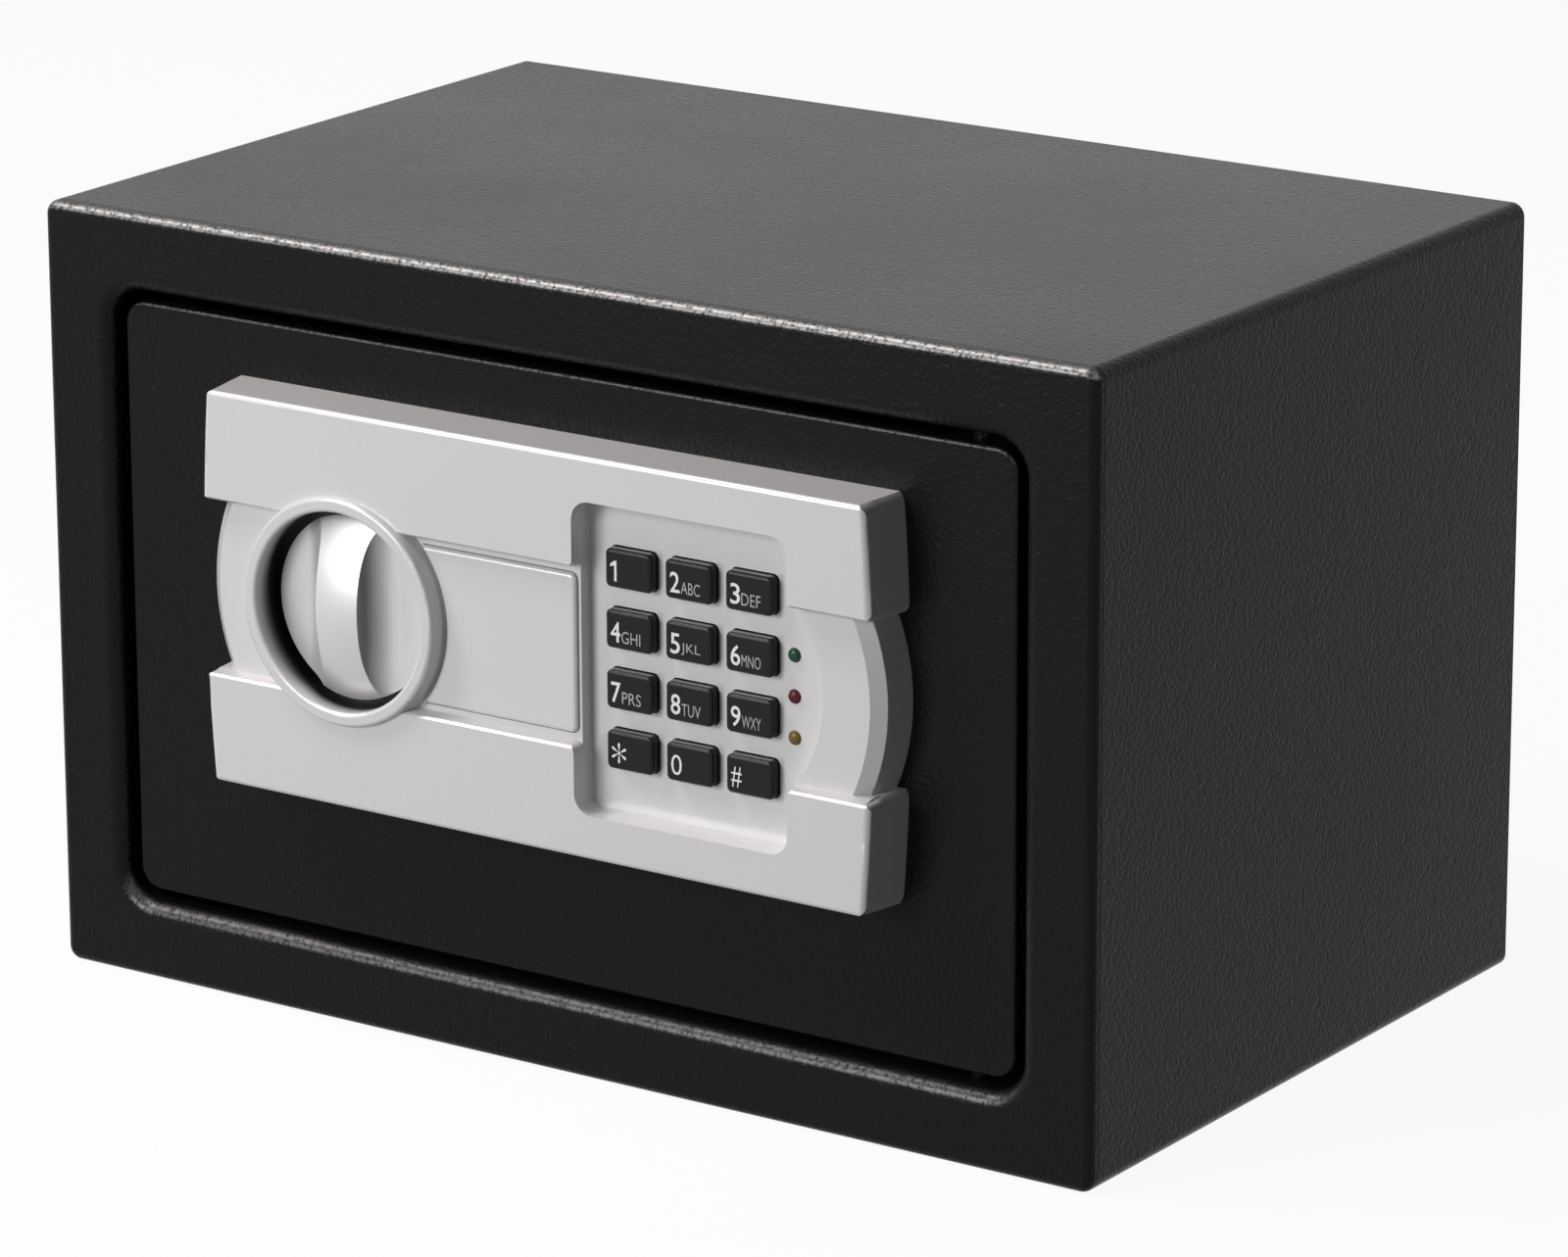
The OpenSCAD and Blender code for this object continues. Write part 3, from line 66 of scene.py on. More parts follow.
def facesWhere(piece, test):
    # selects the faces whose centre and normal pass the test, and stays in edit mode
    pickOnly(piece)
    bpy.ops.object.mode_set(mode="EDIT")
    bpy.ops.mesh.select_all(action="DESELECT")
    bpy.ops.mesh.select_mode(type="FACE")
    bpy.ops.object.mode_set(mode="OBJECT")
    for p in piece.data.polygons:
        p.select = test(p.center, p.normal)
    bpy.ops.object.mode_set(mode="EDIT")


def objectMode():
    bpy.ops.object.mode_set(mode="OBJECT")


def middleOf(name):
    low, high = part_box(name)
    return (low.x + high.x) / 2, (low.z + high.z) / 2


def paint(piece, material):
    piece.data.materials.clear()
    piece.data.materials.append(material)


def finishPiece(piece, body, material=None):
    # without a material, the piece keeps those that its parts were painted with
    if material:
        paint(piece, material)
    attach(piece, body)


def newGroup(name, inputs, outputs):
    g = bpy.data.node_groups.new(name, "ShaderNodeTree")
    for label, kind, value in inputs:
        s = g.interface.new_socket(name=label, in_out="INPUT", socket_type=kind)
        if value is not None:
            s.default_value = value
    for label in outputs:
        g.interface.new_socket(name=label, in_out="OUTPUT", socket_type="NodeSocketFloat")
    return g, g.nodes.new("NodeGroupInput"), g.nodes.new("NodeGroupOutput")


def node(tree, kind, **values):
    n = tree.nodes.new(kind)
    for key, value in values.items():
        if hasattr(n, key):
            setattr(n, key, value)
        else:
            n.inputs[key].default_value = value
    return n


def math2(tree, op, a, b=None, clamp=False):
    # a and b are plain numbers or the outputs of other nodes
    n = tree.nodes.new("ShaderNodeMath")
    n.operation = op
    n.use_clamp = clamp
    for socket, value in zip(n.inputs, (a, b)):
        if value is None:
            continue
        if hasattr(value, "is_output"):
            tree.links.new(value, socket)
        else:
            socket.default_value = value
    return n.outputs[0]


def ramp(tree, value, low, high, top=1.0):
    # rises smoothly from 0 at low to top at high
    span = tree.nodes.new("ShaderNodeMapRange")
    span.interpolation_type = "SMOOTHSTEP"
    span.inputs["From Min"].default_value = low
    span.inputs["From Max"].default_value = high
    span.inputs["To Max"].default_value = top
    tree.links.new(value, span.inputs["Value"])
    return span.outputs["Result"]


def splitXYZ(tree, vector):
    split = tree.nodes.new("ShaderNodeSeparateXYZ")
    tree.links.new(vector, split.inputs[0])
    return split.outputs


peelLook = {
    "warpScale": 420.0,
    "warp": 0.0016,
    "smoothness": 0.7,
    "grainShare": 0.35,
}


def makePeelGroup():
    # orange peel of a thick powder coat: rounded cells broken up by finer noise
    g, gin, gout = newGroup(
        "powderPeel",
        [
            ("Cells", "NodeSocketFloat", None),
            ("Grain", "NodeSocketFloat", None),
            ("Grain Share", "NodeSocketFloat", peelLook["grainShare"]),
        ],
        ["Height", "Speck"],
    )
    place = g.nodes.new("ShaderNodeTexCoord").outputs["Object"]
    warp = node(g, "ShaderNodeTexNoise", Scale=peelLook["warpScale"], Detail=1.0)
    g.links.new(place, warp.inputs["Vector"])
    shift = g.nodes.new("ShaderNodeVectorMath")
    shift.operation = "MULTIPLY_ADD"
    g.links.new(warp.outputs["Color"], shift.inputs[0])
    shift.inputs[1].default_value = (peelLook["warp"],) * 3
    g.links.new(place, shift.inputs[2])
    cells = g.nodes.new("ShaderNodeTexVoronoi")
    cells.feature = "SMOOTH_F1"
    cells.inputs["Smoothness"].default_value = peelLook["smoothness"]
    g.links.new(shift.outputs[0], cells.inputs["Vector"])
    g.links.new(gin.outputs["Cells"], cells.inputs["Scale"])
    grain = node(g, "ShaderNodeTexNoise", Detail=2.0, Roughness=0.55)
    g.links.new(place, grain.inputs["Vector"])
    g.links.new(gin.outputs["Grain"], grain.inputs["Scale"])
    dome = math2(g, "SUBTRACT", 1.0, cells.outputs["Distance"])
    fine = math2(g, "MULTIPLY", grain.outputs["Fac"], gin.outputs["Grain Share"])
    g.links.new(math2(g, "ADD", dome, fine), gout.inputs["Height"])
    speck = math2(g, "MULTIPLY", cells.outputs["Distance"], grain.outputs["Fac"], clamp=True)
    g.links.new(speck, gout.inputs["Speck"])
    return g


mottleLook = {
    "slowShare": 0.6,
    "fastShare": 0.4,
    "from": 0.3,
    "to": 0.7,
}


def makeMottleGroup():
    # slow and fast variation for colour and gloss
    g, gin, gout = newGroup(
        "mottle",
        [(label, "NodeSocketFloat", None) for label in ("Slow", "Fast", "Low", "High")],
        ["Value", "Fine"],
    )
    place = g.nodes.new("ShaderNodeTexCoord").outputs["Object"]
    slow = node(g, "ShaderNodeTexNoise", Detail=3.0, Roughness=0.6)
    fast = node(g, "ShaderNodeTexNoise", Detail=2.0, Roughness=0.6)
    for noise, label in ((slow, "Slow"), (fast, "Fast")):
        g.links.new(place, noise.inputs["Vector"])
        g.links.new(gin.outputs[label], noise.inputs["Scale"])
    mixed = math2(
        g, "ADD",
        math2(g, "MULTIPLY", slow.outputs["Fac"], mottleLook["slowShare"]),
        math2(g, "MULTIPLY", fast.outputs["Fac"], mottleLook["fastShare"]),
    )
    span = g.nodes.new("ShaderNodeMapRange")
    span.inputs["From Min"].default_value = mottleLook["from"]
    span.inputs["From Max"].default_value = mottleLook["to"]
    g.links.new(mixed, span.inputs["Value"])
    g.links.new(gin.outputs["Low"], span.inputs["To Min"])
    g.links.new(gin.outputs["High"], span.inputs["To Max"])
    g.links.new(span.outputs["Result"], gout.inputs["Value"])
    g.links.new(fast.outputs["Fac"], gout.inputs["Fine"])
    return g


def makeBrushGroup():
    # fine drawn lines along one axis, as on plated and turned steel
    g, gin, gout = newGroup("drawnLines", [("Stretch", "NodeSocketVector", None)], ["Lines"])
    grow = g.nodes.new("ShaderNodeVectorMath")
    grow.operation = "MULTIPLY"
    g.links.new(g.nodes.new("ShaderNodeTexCoord").outputs["Object"], grow.inputs[0])
    g.links.new(gin.outputs["Stretch"], grow.inputs[1])
    lines = node(g, "ShaderNodeTexNoise", Scale=1.0, Detail=3.0, Roughness=0.6)
    g.links.new(grow.outputs[0], lines.inputs["Vector"])
    g.links.new(lines.outputs["Fac"], gout.inputs["Lines"])
    return g


# painted shade inside the knob's well: where the silver turns black
wellShadeLook = {
    "radius": 0.0259,
    "edge": 0.0003,
    "front": -0.1131,
    "floor": -0.1082,
}


def makeWellShadeGroup():
    # painted shade: the silver turns to black down the wall of the knob's well, where the well is
    # in shade
    g, _, gout = newGroup("wellPaintedShade", [], ["Fade"])
    x, z = middleOf("shaft_bush")
    place = g.nodes.new("ShaderNodeTexCoord").outputs["Object"]
    flat = g.nodes.new("ShaderNodeVectorMath")
    flat.operation = "MULTIPLY_ADD"
    flat.inputs[1].default_value = (1, 0, 1)
    flat.inputs[2].default_value = (-x, 0, -z)
    g.links.new(place, flat.inputs[0])
    reach = g.nodes.new("ShaderNodeVectorMath")
    reach.operation = "LENGTH"
    g.links.new(flat.outputs["Vector"], reach.inputs[0])
    rim = wellShadeLook["radius"]
    outside = ramp(g, reach.outputs["Value"], rim, rim + wellShadeLook["edge"])
    inside = math2(g, "SUBTRACT", 1.0, outside)
    deep = ramp(g, splitXYZ(g, place)["Y"], wellShadeLook["front"], wellShadeLook["floor"])
    g.links.new(math2(g, "MULTIPLY", inside, deep), gout.inputs["Fade"])
    return g


# painted shade on the grip's steep walls: how much, and at which slopes
sideShadeLook = {
    "share": 0.52,
    "from": 0.3,
    "to": 0.95,
}


def makeSideShadeGroup():
    # painted shade: the silver is darker on the steep side walls of the knob's grip, which lie in
    # shade
    g, _, gout = newGroup("steepSideShade", [], ["Fade"])
    normal = splitXYZ(g, g.nodes.new("ShaderNodeTexCoord").outputs["Normal"])
    steep = ramp(g, math2(g, "ABSOLUTE", normal["X"]), sideShadeLook["from"], sideShadeLook["to"])
    g.links.new(math2(g, "MULTIPLY", steep, sideShadeLook["share"]), gout.inputs["Fade"])
    return g


# painted highlight on the coat's bends: where the extra gloss lies and how strong
bendHighlightLook = {
    "from": 0.185,
    "to": 0.194,
    "lower": 0.22,
    "upper": 0.72,
    "rising": (0.2, 0.45),
    "forward": (0.12, 0.4),
    "speck": 4.0,
    "even": -0.15,
}


def makeBendHighlightGroup():
    # painted highlight: the coat gets extra gloss on the bends that face forward and up, most at
    # the top edge, where the lamps' highlight falls
    g, gin, gout = newGroup("bendGloss", [("Speck", "NodeSocketFloat", None)], ["Gloss"])
    coords = g.nodes.new("ShaderNodeTexCoord")
    normal = splitXYZ(g, coords.outputs["Normal"])
    place = splitXYZ(g, coords.outputs["Object"])
    rising = ramp(g, normal["Z"], *bendHighlightLook["rising"])
    forward = ramp(g, math2(g, "MULTIPLY", normal["Y"], -1.0), *bendHighlightLook["forward"])
    more = bendHighlightLook["upper"] - bendHighlightLook["lower"]
    upper = ramp(g, place["Z"], bendHighlightLook["from"], bendHighlightLook["to"], more)
    upper = math2(g, "ADD", upper, bendHighlightLook["lower"])
    speck = math2(g, "MULTIPLY", gin.outputs["Speck"], bendHighlightLook["speck"])
    speck = math2(g, "ADD", speck, bendHighlightLook["even"], clamp=True)
    turned = math2(g, "MULTIPLY", rising, forward)
    paintedHighlight = math2(g, "MULTIPLY", turned, math2(g, "MULTIPLY", upper, speck))
    g.links.new(paintedHighlight, gout.inputs["Gloss"])
    return g


peelGroup = makePeelGroup()
bendHighlightGroup = makeBendHighlightGroup()
mottleGroup = makeMottleGroup()
brushGroup = makeBrushGroup()
wellShadeGroup = makeWellShadeGroup()
sideShadeGroup = makeSideShadeGroup()
print("shader groups ready")


def newMaterial(name):
    m = bpy.data.materials.new(name)
    m.use_nodes = True
    return m, m.node_tree, m.node_tree.nodes["Principled BSDF"]


def addGroup(tree, group, **values):
    n = tree.nodes.new("ShaderNodeGroup")
    n.node_tree = group
    for key, value in values.items():
        n.inputs[key].default_value = value
    return n


def addMottle(tree, shader, look):
    # its slow part drives the gloss
    low, high = look["gloss"]
    mottle = addGroup(tree, mottleGroup, Slow=look["slow"], Fast=look["fast"], Low=low, High=high)
    tree.links.new(mottle.outputs["Value"], shader.inputs["Roughness"])
    return mottle


def addBump(tree, shader, height, look):
    b = tree.nodes.new("ShaderNodeBump")
    b.inputs["Strength"].default_value = look["strength"]
    b.inputs["Distance"].default_value = look["depth"]
    tree.links.new(height, b.inputs["Height"])
    tree.links.new(b.outputs["Normal"], shader.inputs["Normal"])


def addColourMix(tree, shader, factor, low, high):
    mix = tree.nodes.new("ShaderNodeMix")
    mix.data_type = "RGBA"
    mix.inputs["A"].default_value = (*low, 1)
    mix.inputs["B"].default_value = (*high, 1)
    tree.links.new(factor, mix.inputs["Factor"])
    tree.links.new(mix.outputs["Result"], shader.inputs["Base Color"])
    return mix


coatLook = {
    "low": (0.0058, 0.0054, 0.0055),
    "high": (0.0125, 0.0116, 0.0118),
    "cells": 950.0,
    "grain": 2400.0,
    "slow": 14.0,
    "fast": 700.0,
    "gloss": (0.24, 0.31),
    "specular": 0.088,
    "strength": 0.85,
    "depth": 0.00015,
    # the extra gloss layer of the painted highlight on the bends
    "highlightIndex": 2.5,
    "bendGloss": 0.38,
}


def makeCoat(name, look):
    m, tree, shader = newMaterial(name)
    peel = addGroup(tree, peelGroup, Cells=look["cells"], Grain=look["grain"])
    addMottle(tree, shader, look)
    addColourMix(tree, shader, peel.outputs["Speck"], look["low"], look["high"])
    shader.inputs["Specular IOR Level"].default_value = look["specular"]
    # painted highlight on the bends, as extra coat gloss
    paintedHighlight = addGroup(tree, bendHighlightGroup)
    tree.links.new(peel.outputs["Speck"], paintedHighlight.inputs["Speck"])
    tree.links.new(paintedHighlight.outputs["Gloss"], shader.inputs["Coat Weight"])
    shader.inputs["Coat IOR"].default_value = look["highlightIndex"]
    shader.inputs["Coat Roughness"].default_value = look["bendGloss"]
    addBump(tree, shader, peel.outputs["Height"], look)
    return m


mouldingLook = {
    "low": (0.6, 0.592, 0.596),
    "high": (0.65, 0.642, 0.646),
    "slow": 10.0,
    "fast": 1800.0,
    "gloss": (0.23, 0.28),
    "metallic": 0.16,
    "specular": 0.4,
    "strength": 0.08,
    "depth": 0.00001,
    # painted shade: the black that the well's wall turns to
    "under": (0.008, 0.008, 0.008),
}
knobLook = dict(
    mouldingLook,
    gloss=(0.33, 0.37),
    metallic=0.45,
    specular=0.6,
    # painted shade: the dark grey of the grip's steep walls
    under=(0.05, 0.049, 0.05),
)


def makeMoulding(name, look, shadeGroup):
    # silver paint, turned towards the shade tone where the shade group masks it, with less metal
    # there: painted shade
    m, tree, shader = newMaterial(name)
    mottle = addMottle(tree, shader, look)
    shadeShare = addGroup(tree, shadeGroup).outputs["Fade"]
    silver = addColourMix(tree, shader, mottle.outputs["Fine"], look["low"], look["high"])
    # painted shade: the shade tone takes the place of the silver where the group masks it
    under = addColourMix(tree, shader, shadeShare, look["under"], look["under"])
    tree.links.new(silver.outputs["Result"], under.inputs["A"])
    kept = math2(tree, "SUBTRACT", 1.0, shadeShare)
    tree.links.new(math2(tree, "MULTIPLY", kept, look["metallic"]), shader.inputs["Metallic"])
    shader.inputs["Specular IOR Level"].default_value = look["specular"]
    addBump(tree, shader, mottle.outputs["Fine"], look)
    return m


# what a plain finish has unless its own look says otherwise; without a depth there is no bump
plainBase = {
    "slow": 30.0,
    "fast": 1400.0,
    "specular": 0.5,
    "strength": 0.5,
    "depth": 0.0,
}


def makePlain(name, own):
    look = dict(plainBase, **own)
    m, tree, shader = newMaterial(name)
    mottle = addMottle(tree, shader, look)
    addColourMix(tree, shader, mottle.outputs["Fine"], look["low"], look["high"])
    shader.inputs["Specular IOR Level"].default_value = look["specular"]
    if look["depth"]:
        addBump(tree, shader, mottle.outputs["Fine"], look)
    return m


metalBase = {"strength": 0.15, "depth": 0.00002}


def makeMetal(name, own):
    look = dict(metalBase, **own)
    m, tree, shader = newMaterial(name)
    lines = addGroup(tree, brushGroup, Stretch=look["stretch"]).outputs["Lines"]
    addColourMix(tree, shader, lines, look["low"], look["high"])
    span = tree.nodes.new("ShaderNodeMapRange")
    span.inputs["To Min"].default_value, span.inputs["To Max"].default_value = look["gloss"]
    tree.links.new(lines, span.inputs["Value"])
    tree.links.new(span.outputs["Result"], shader.inputs["Roughness"])
    shader.inputs["Metallic"].default_value = 1.0
    addBump(tree, shader, lines, look)
    return m


plainLooks = {
    "keyBlack": {
        "low": (0.0045, 0.0045, 0.0048), "high": (0.0075, 0.0075, 0.008),
        "gloss": (0.24, 0.3), "specular": 0.2,
    },
    "keyWhite": {"low": (0.74, 0.74, 0.73), "high": (0.82, 0.82, 0.81), "gloss": (0.4, 0.5)},
    "keyGrey": {"low": (0.36, 0.36, 0.36), "high": (0.44, 0.44, 0.44), "gloss": (0.4, 0.5)},
    "lensGreen": {
        "low": (0.008, 0.05, 0.026), "high": (0.012, 0.066, 0.036),
        "gloss": (0.2, 0.26), "specular": 0.2,
    },
    "lensRed": {
        "low": (0.09, 0.005, 0.009), "high": (0.115, 0.008, 0.013),
        "gloss": (0.2, 0.26), "specular": 0.2,
    },
    "lensYellow": {
        "low": (0.125, 0.09, 0.011), "high": (0.155, 0.112, 0.015),
        "gloss": (0.2, 0.26), "specular": 0.2,
    },
    "matRubber": {
        "low": (0.012, 0.012, 0.012), "high": (0.022, 0.022, 0.022),
        "gloss": (0.75, 0.9), "fast": 900.0, "depth": 0.0001,
    },
    "greyRubber": {
        "low": (0.045, 0.045, 0.045), "high": (0.06, 0.06, 0.06), "gloss": (0.6, 0.7),
    },
    "boardGreen": {
        "low": (0.012, 0.085, 0.035), "high": (0.02, 0.12, 0.05), "gloss": (0.25, 0.35),
    },
    "whiteNylon": {"low": (0.62, 0.62, 0.57), "high": (0.7, 0.7, 0.65), "gloss": (0.4, 0.5)},
    "blackPlastic": {
        "low": (0.011, 0.011, 0.011), "high": (0.02, 0.02, 0.02),
        "gloss": (0.42, 0.55), "fast": 1800.0, "depth": 0.00005,
    },
    "ribbonGrey": {"low": (0.32, 0.32, 0.32), "high": (0.38, 0.38, 0.38), "gloss": (0.45, 0.55)},
    "resetRed": {"low": (0.4, 0.016, 0.012), "high": (0.48, 0.022, 0.016), "gloss": (0.25, 0.32)},
    "coilTape": {"low": (0.42, 0.1, 0.025), "high": (0.5, 0.14, 0.035), "gloss": (0.4, 0.5)},
    "cellSleeve": {
        "low": (0.05, 0.06, 0.08), "high": (0.065, 0.075, 0.095), "gloss": (0.2, 0.28),
    },
}
# the lines run along the axis with the smallest stretch
metalLooks = {
    "zincPlate": {
        "low": (0.5, 0.51, 0.53), "high": (0.62, 0.63, 0.65),
        "gloss": (0.28, 0.42), "stretch": (60.0, 1400.0, 1400.0),
    },
    "boltChrome": {
        "low": (0.6, 0.6, 0.62), "high": (0.68, 0.68, 0.7),
        "gloss": (0.1, 0.18), "stretch": (3000.0, 120.0, 120.0),
    },
    "darkSteel": {
        "low": (0.26, 0.26, 0.27), "high": (0.34, 0.34, 0.35),
        "gloss": (0.35, 0.5), "stretch": (900.0, 900.0, 60.0),
    },
    "brassTurned": {
        "low": (0.56, 0.39, 0.14), "high": (0.66, 0.47, 0.18),
        "gloss": (0.2, 0.32), "stretch": (900.0, 40.0, 900.0),
    },
}

finishes = {
    "powderCoat": makeCoat("blackPowderCoat", coatLook),
    # the moulding carries painted shade in the knob's well, the knob's paint painted shade on the
    # grip's steep walls
    "moulding": makeMoulding("silverMoulding", mouldingLook, wellShadeGroup),
    "knobPaint": makeMoulding("silverKnob", knobLook, sideShadeGroup),
}
for name, look in plainLooks.items():
    finishes[name] = makePlain(name, look)
for name, look in metalLooks.items():
    finishes[name] = makeMetal(name, look)
print("materials ready:", len(finishes))

# the CAD nodes of each finish; keys are black, and every other node is zinc plated
finishNodes = {
    "powderCoat": (
        "body_shell", "back_panel", "front_frame", "hinge_bracket_upper",
        "hinge_bracket_lower", "hinge_pin_upper", "hinge_pin_lower", "door_plate",
        "hinge_lug_upper", "hinge_lug_lower", "door_inner_cover",
    ),
    "moulding": ("panel_housing", "badge_cover"),
    "knobPaint": ("knob",),
    "matRubber": ("floor_mat",),
    "greyRubber": ("keypad_mat",),
    "boardGreen": ("keypad_board", "control_board"),
    "whiteNylon": ("board_posts",),
    "blackPlastic": ("buzzer", "battery_box", "battery_cover"),
    "ribbonGrey": ("ribbon_cable",),
    "resetRed": ("reset_button",),
    "coilTape": ("solenoid_coil",),
    "cellSleeve": ("battery_cells",),
    "brassTurned": ("shaft_bush", "lock_plug"),
    "boltChrome": ("bolt_upper", "bolt_lower"),
    "darkSteel": ("drive_cam", "lock_cam", "solenoid_plunger"),
    "lensGreen": ("led_green",),
    "lensRed": ("led_red",),
    "lensYellow": ("led_yellow",),
}
finishOf = {n: kind for kind, names in finishNodes.items() for n in names}
for name, obj in nodes.items():
    other = "keyBlack" if name.startswith("key_") else "zincPlate"
    for s in obj.material_slots:
        s.material = finishes[finishOf.get(name, other)]
print("node finishes set")


legendLook = {
    "keyWidth": 0.0134,
    "keyHeight": 0.0096,
    "digitHeight": 0.0051,
    "digitWidth": 0.0028,
    "letterHeight": 0.003,
    "lettersWidth": 0.0055,
    "digitWeight": 0.008,
    "letterWeight": -0.004,
    "left": 0.0016,
    "letterGap": 0.00035,
    "base": 0.0017,
    "lift": 0.00003,
    "starWidth": 0.0042,
    "hashWidth": 0.003,
    "zeroWidth": 0.0031,
    "curveSteps": 3,
    "sweep": 0.02,
    "stroke": 0.00068,
    "flagDrop": 0.0012,
    "flagFall": 0.55,
    "flagTaper": 0.5,
    "flagPivot": 1.05,
}
legends = {
    "key_1": ("1", ""), "key_2": ("2", "ABC"), "key_3": ("3", "DEF"),
    "key_4": ("4", "GHI"), "key_5": ("5", "JKL"), "key_6": ("6", "MNO"),
    "key_7": ("7", "PRS"), "key_8": ("8", "TUV"), "key_9": ("9", "WXY"),
    "key_star": ("*", ""), "key_0": ("0", ""), "key_hash": ("#", ""),
}


def flatInPlace(word, width, height, corner):
    # fits a word lying in the XZ plane into a frame, its lower left corner at the given point
    cos = [v.co.copy() for v in word.data.vertices]
    low = Vector((min(c.x for c in cos), min(c.y for c in cos), min(c.z for c in cos)))
    high = Vector((max(c.x for c in cos), max(c.y for c in cos), max(c.z for c in cos)))
    size = high - low
    fit = (width / size.x, 2 * legendLook["lift"] / size.y, height / size.z, 1)
    word.data.transform(Matrix.Translation((-low.x, -(low.y + high.y) / 2, -low.z)))
    word.data.transform(Matrix.Diagonal(fit))
    word.data.transform(Matrix.Translation(corner))


def addWord(text, width, height, weight, corner, finish):
    bpy.ops.object.select_all(action="DESELECT")
    bpy.ops.object.text_add(location=(0, 0, 0), rotation=(math.pi / 2, 0, 0))
    word = bpy.context.object
    word.data.body = text
    word.data.size = 1.0
    word.data.offset = weight
    word.data.extrude = legendLook["sweep"]
    word.data.resolution_u = legendLook["curveSteps"]
    bpy.ops.object.convert(target="MESH")
    word = bpy.context.object
    settle(word)
    flatInPlace(word, width, height, corner)
    paint(word, finish)
    return word


def addOne(height, corner):
    # the figure 1: an upright stroke, its top drawn out into a flag
    stroke, drop = legendLook["stroke"], legendLook["flagDrop"]
    bpy.ops.object.select_all(action="DESELECT")
    bpy.ops.mesh.primitive_cube_add(size=1, location=(0, 0, 0))
    one = bpy.context.object
    one.scale = (stroke, 2 * legendLook["lift"], height)
    one.location = corner + Vector((drop + stroke / 2, 0, height / 2))
    settle(one)
    pickOnly(one)
    bpy.ops.object.mode_set(mode="EDIT")
    bpy.ops.mesh.select_all(action="SELECT")
    cut = corner + Vector((0, 0, height - drop))
    bpy.ops.mesh.bisect(plane_co=cut, plane_no=(0, 0, 1))
    objectMode()
    facesWhere(one, lambda c, n: n.x < -0.9 and c.z > corner.z + height - drop)
    out = (-drop, 0, -drop * legendLook["flagFall"])
    bpy.ops.mesh.extrude_region_move(TRANSFORM_OT_translate={"value": out})
    pivot = corner + Vector((0, 0, height - drop * legendLook["flagPivot"]))
    bpy.ops.transform.resize(value=(1, 1, legendLook["flagTaper"]), center_override=pivot)
    objectMode()
    paint(one, finishes["keyWhite"])
    return one


# the marks whose width or stroke differs from the figures'
markShapes = {
    "*": (legendLook["starWidth"], legendLook["letterWeight"]),
    "#": (legendLook["hashWidth"], legendLook["letterWeight"]),
    "0": (legendLook["zeroWidth"], legendLook["letterWeight"]),
}
digitShape = (legendLook["digitWidth"], legendLook["digitWeight"])


def addLegend(keyName, digit, letters):
    x, z = middleOf(keyName)
    corner = Vector((
        x - legendLook["keyWidth"] / 2 + legendLook["left"],
        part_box(keyName)[0].y,
        z - legendLook["keyHeight"] / 2 + legendLook["base"],
    ))
    tall = legendLook["digitHeight"]
    if digit == "1":
        parts = [addOne(tall, corner)]
    else:
        width, weight = markShapes.get(digit, digitShape)
        parts = [addWord(digit, width, tall, weight, corner, finishes["keyWhite"])]
    if letters:
        start = corner + Vector((legendLook["digitWidth"] + legendLook["letterGap"], 0, 0))
        parts.append(addWord(
            letters, legendLook["lettersWidth"], legendLook["letterHeight"],
            legendLook["letterWeight"], start, finishes["keyGrey"],
        ))
    pickOnly(*parts)
    if len(parts) > 1:
        bpy.ops.object.join()
    legend = named(keyName.replace("key_", "legend_"))
    finishPiece(legend, keyName)


for keyName, (digit, letters) in legends.items():
    addLegend(keyName, digit, letters)
print("legends on keys:", len(legends))


lensLook = {
    "height": 0.0009,
    "flange": 0.0004,
    "set": 0.0001,
    "segments": 40,
    "rings": 20,
    "smoothAngle": 40,
}


def addLens(cadName, pieceName, finish):
    low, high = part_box(cadName)
    x, z = middleOf(cadName)
    radius = (high.x - low.x) / 2 - lensLook["flange"]
    bpy.ops.object.select_all(action="DESELECT")
    bpy.ops.mesh.primitive_uv_sphere_add(
        segments=lensLook["segments"], ring_count=lensLook["rings"], radius=radius,
        location=(0, 0, 0), rotation=(math.pi / 2, 0, 0),
    )
    lens = named(pieceName)
    settle(lens)
    facesWhere(lens, lambda c, n: c.y > 0)
    bpy.ops.mesh.delete(type="FACE")
    bpy.ops.mesh.select_all(action="DESELECT")
    bpy.ops.mesh.select_mode(type="EDGE")
    bpy.ops.mesh.select_non_manifold()
    back = (0, high.y - low.y, 0)
    bpy.ops.mesh.extrude_region_move(TRANSFORM_OT_translate={"value": back})
    bpy.ops.mesh.fill()
    bpy.ops.mesh.select_all(action="SELECT")
    bpy.ops.mesh.normals_make_consistent(inside=False)
    objectMode()
    for v in lens.data.vertices:
        if v.co.y < 0:
            v.co.y *= lensLook["height"] / radius
    lens.data.transform(Matrix.Translation((x, low.y + lensLook["set"], z)))
    pickOnly(lens)
    bpy.ops.object.shade_smooth_by_angle(angle=math.radians(lensLook["smoothAngle"]))
    finishPiece(lens, "door", finish)
    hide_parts(cadName)


addLens("led_green", "lens_green", finishes["lensGreen"])
addLens("led_red", "lens_red", finishes["lensRed"])
addLens("led_yellow", "lens_yellow", finishes["lensYellow"])
print("lenses made")


stageLook = {
    "floorSize": 30,
    "floorDrop": 0.0002,
    "floorColour": (0.95, 0.95, 0.95),
    "floorGloss": 0.9,
    "floorSpecular": 0.1,
    "bounceColour": (0.22, 0.22, 0.22),
    "shadowKept": 0.07,
    "ambient": 0.08,
}


def seenRays(tree):
    # 1 for the rays that show the white surroundings, 0 for those that light the safe
    paths = tree.nodes.new("ShaderNodeLightPath").outputs
    direct = math2(tree, "MAXIMUM", paths["Is Camera Ray"], paths["Is Glossy Ray"])
    return math2(tree, "MAXIMUM", direct, paths["Is Transmission Ray"])


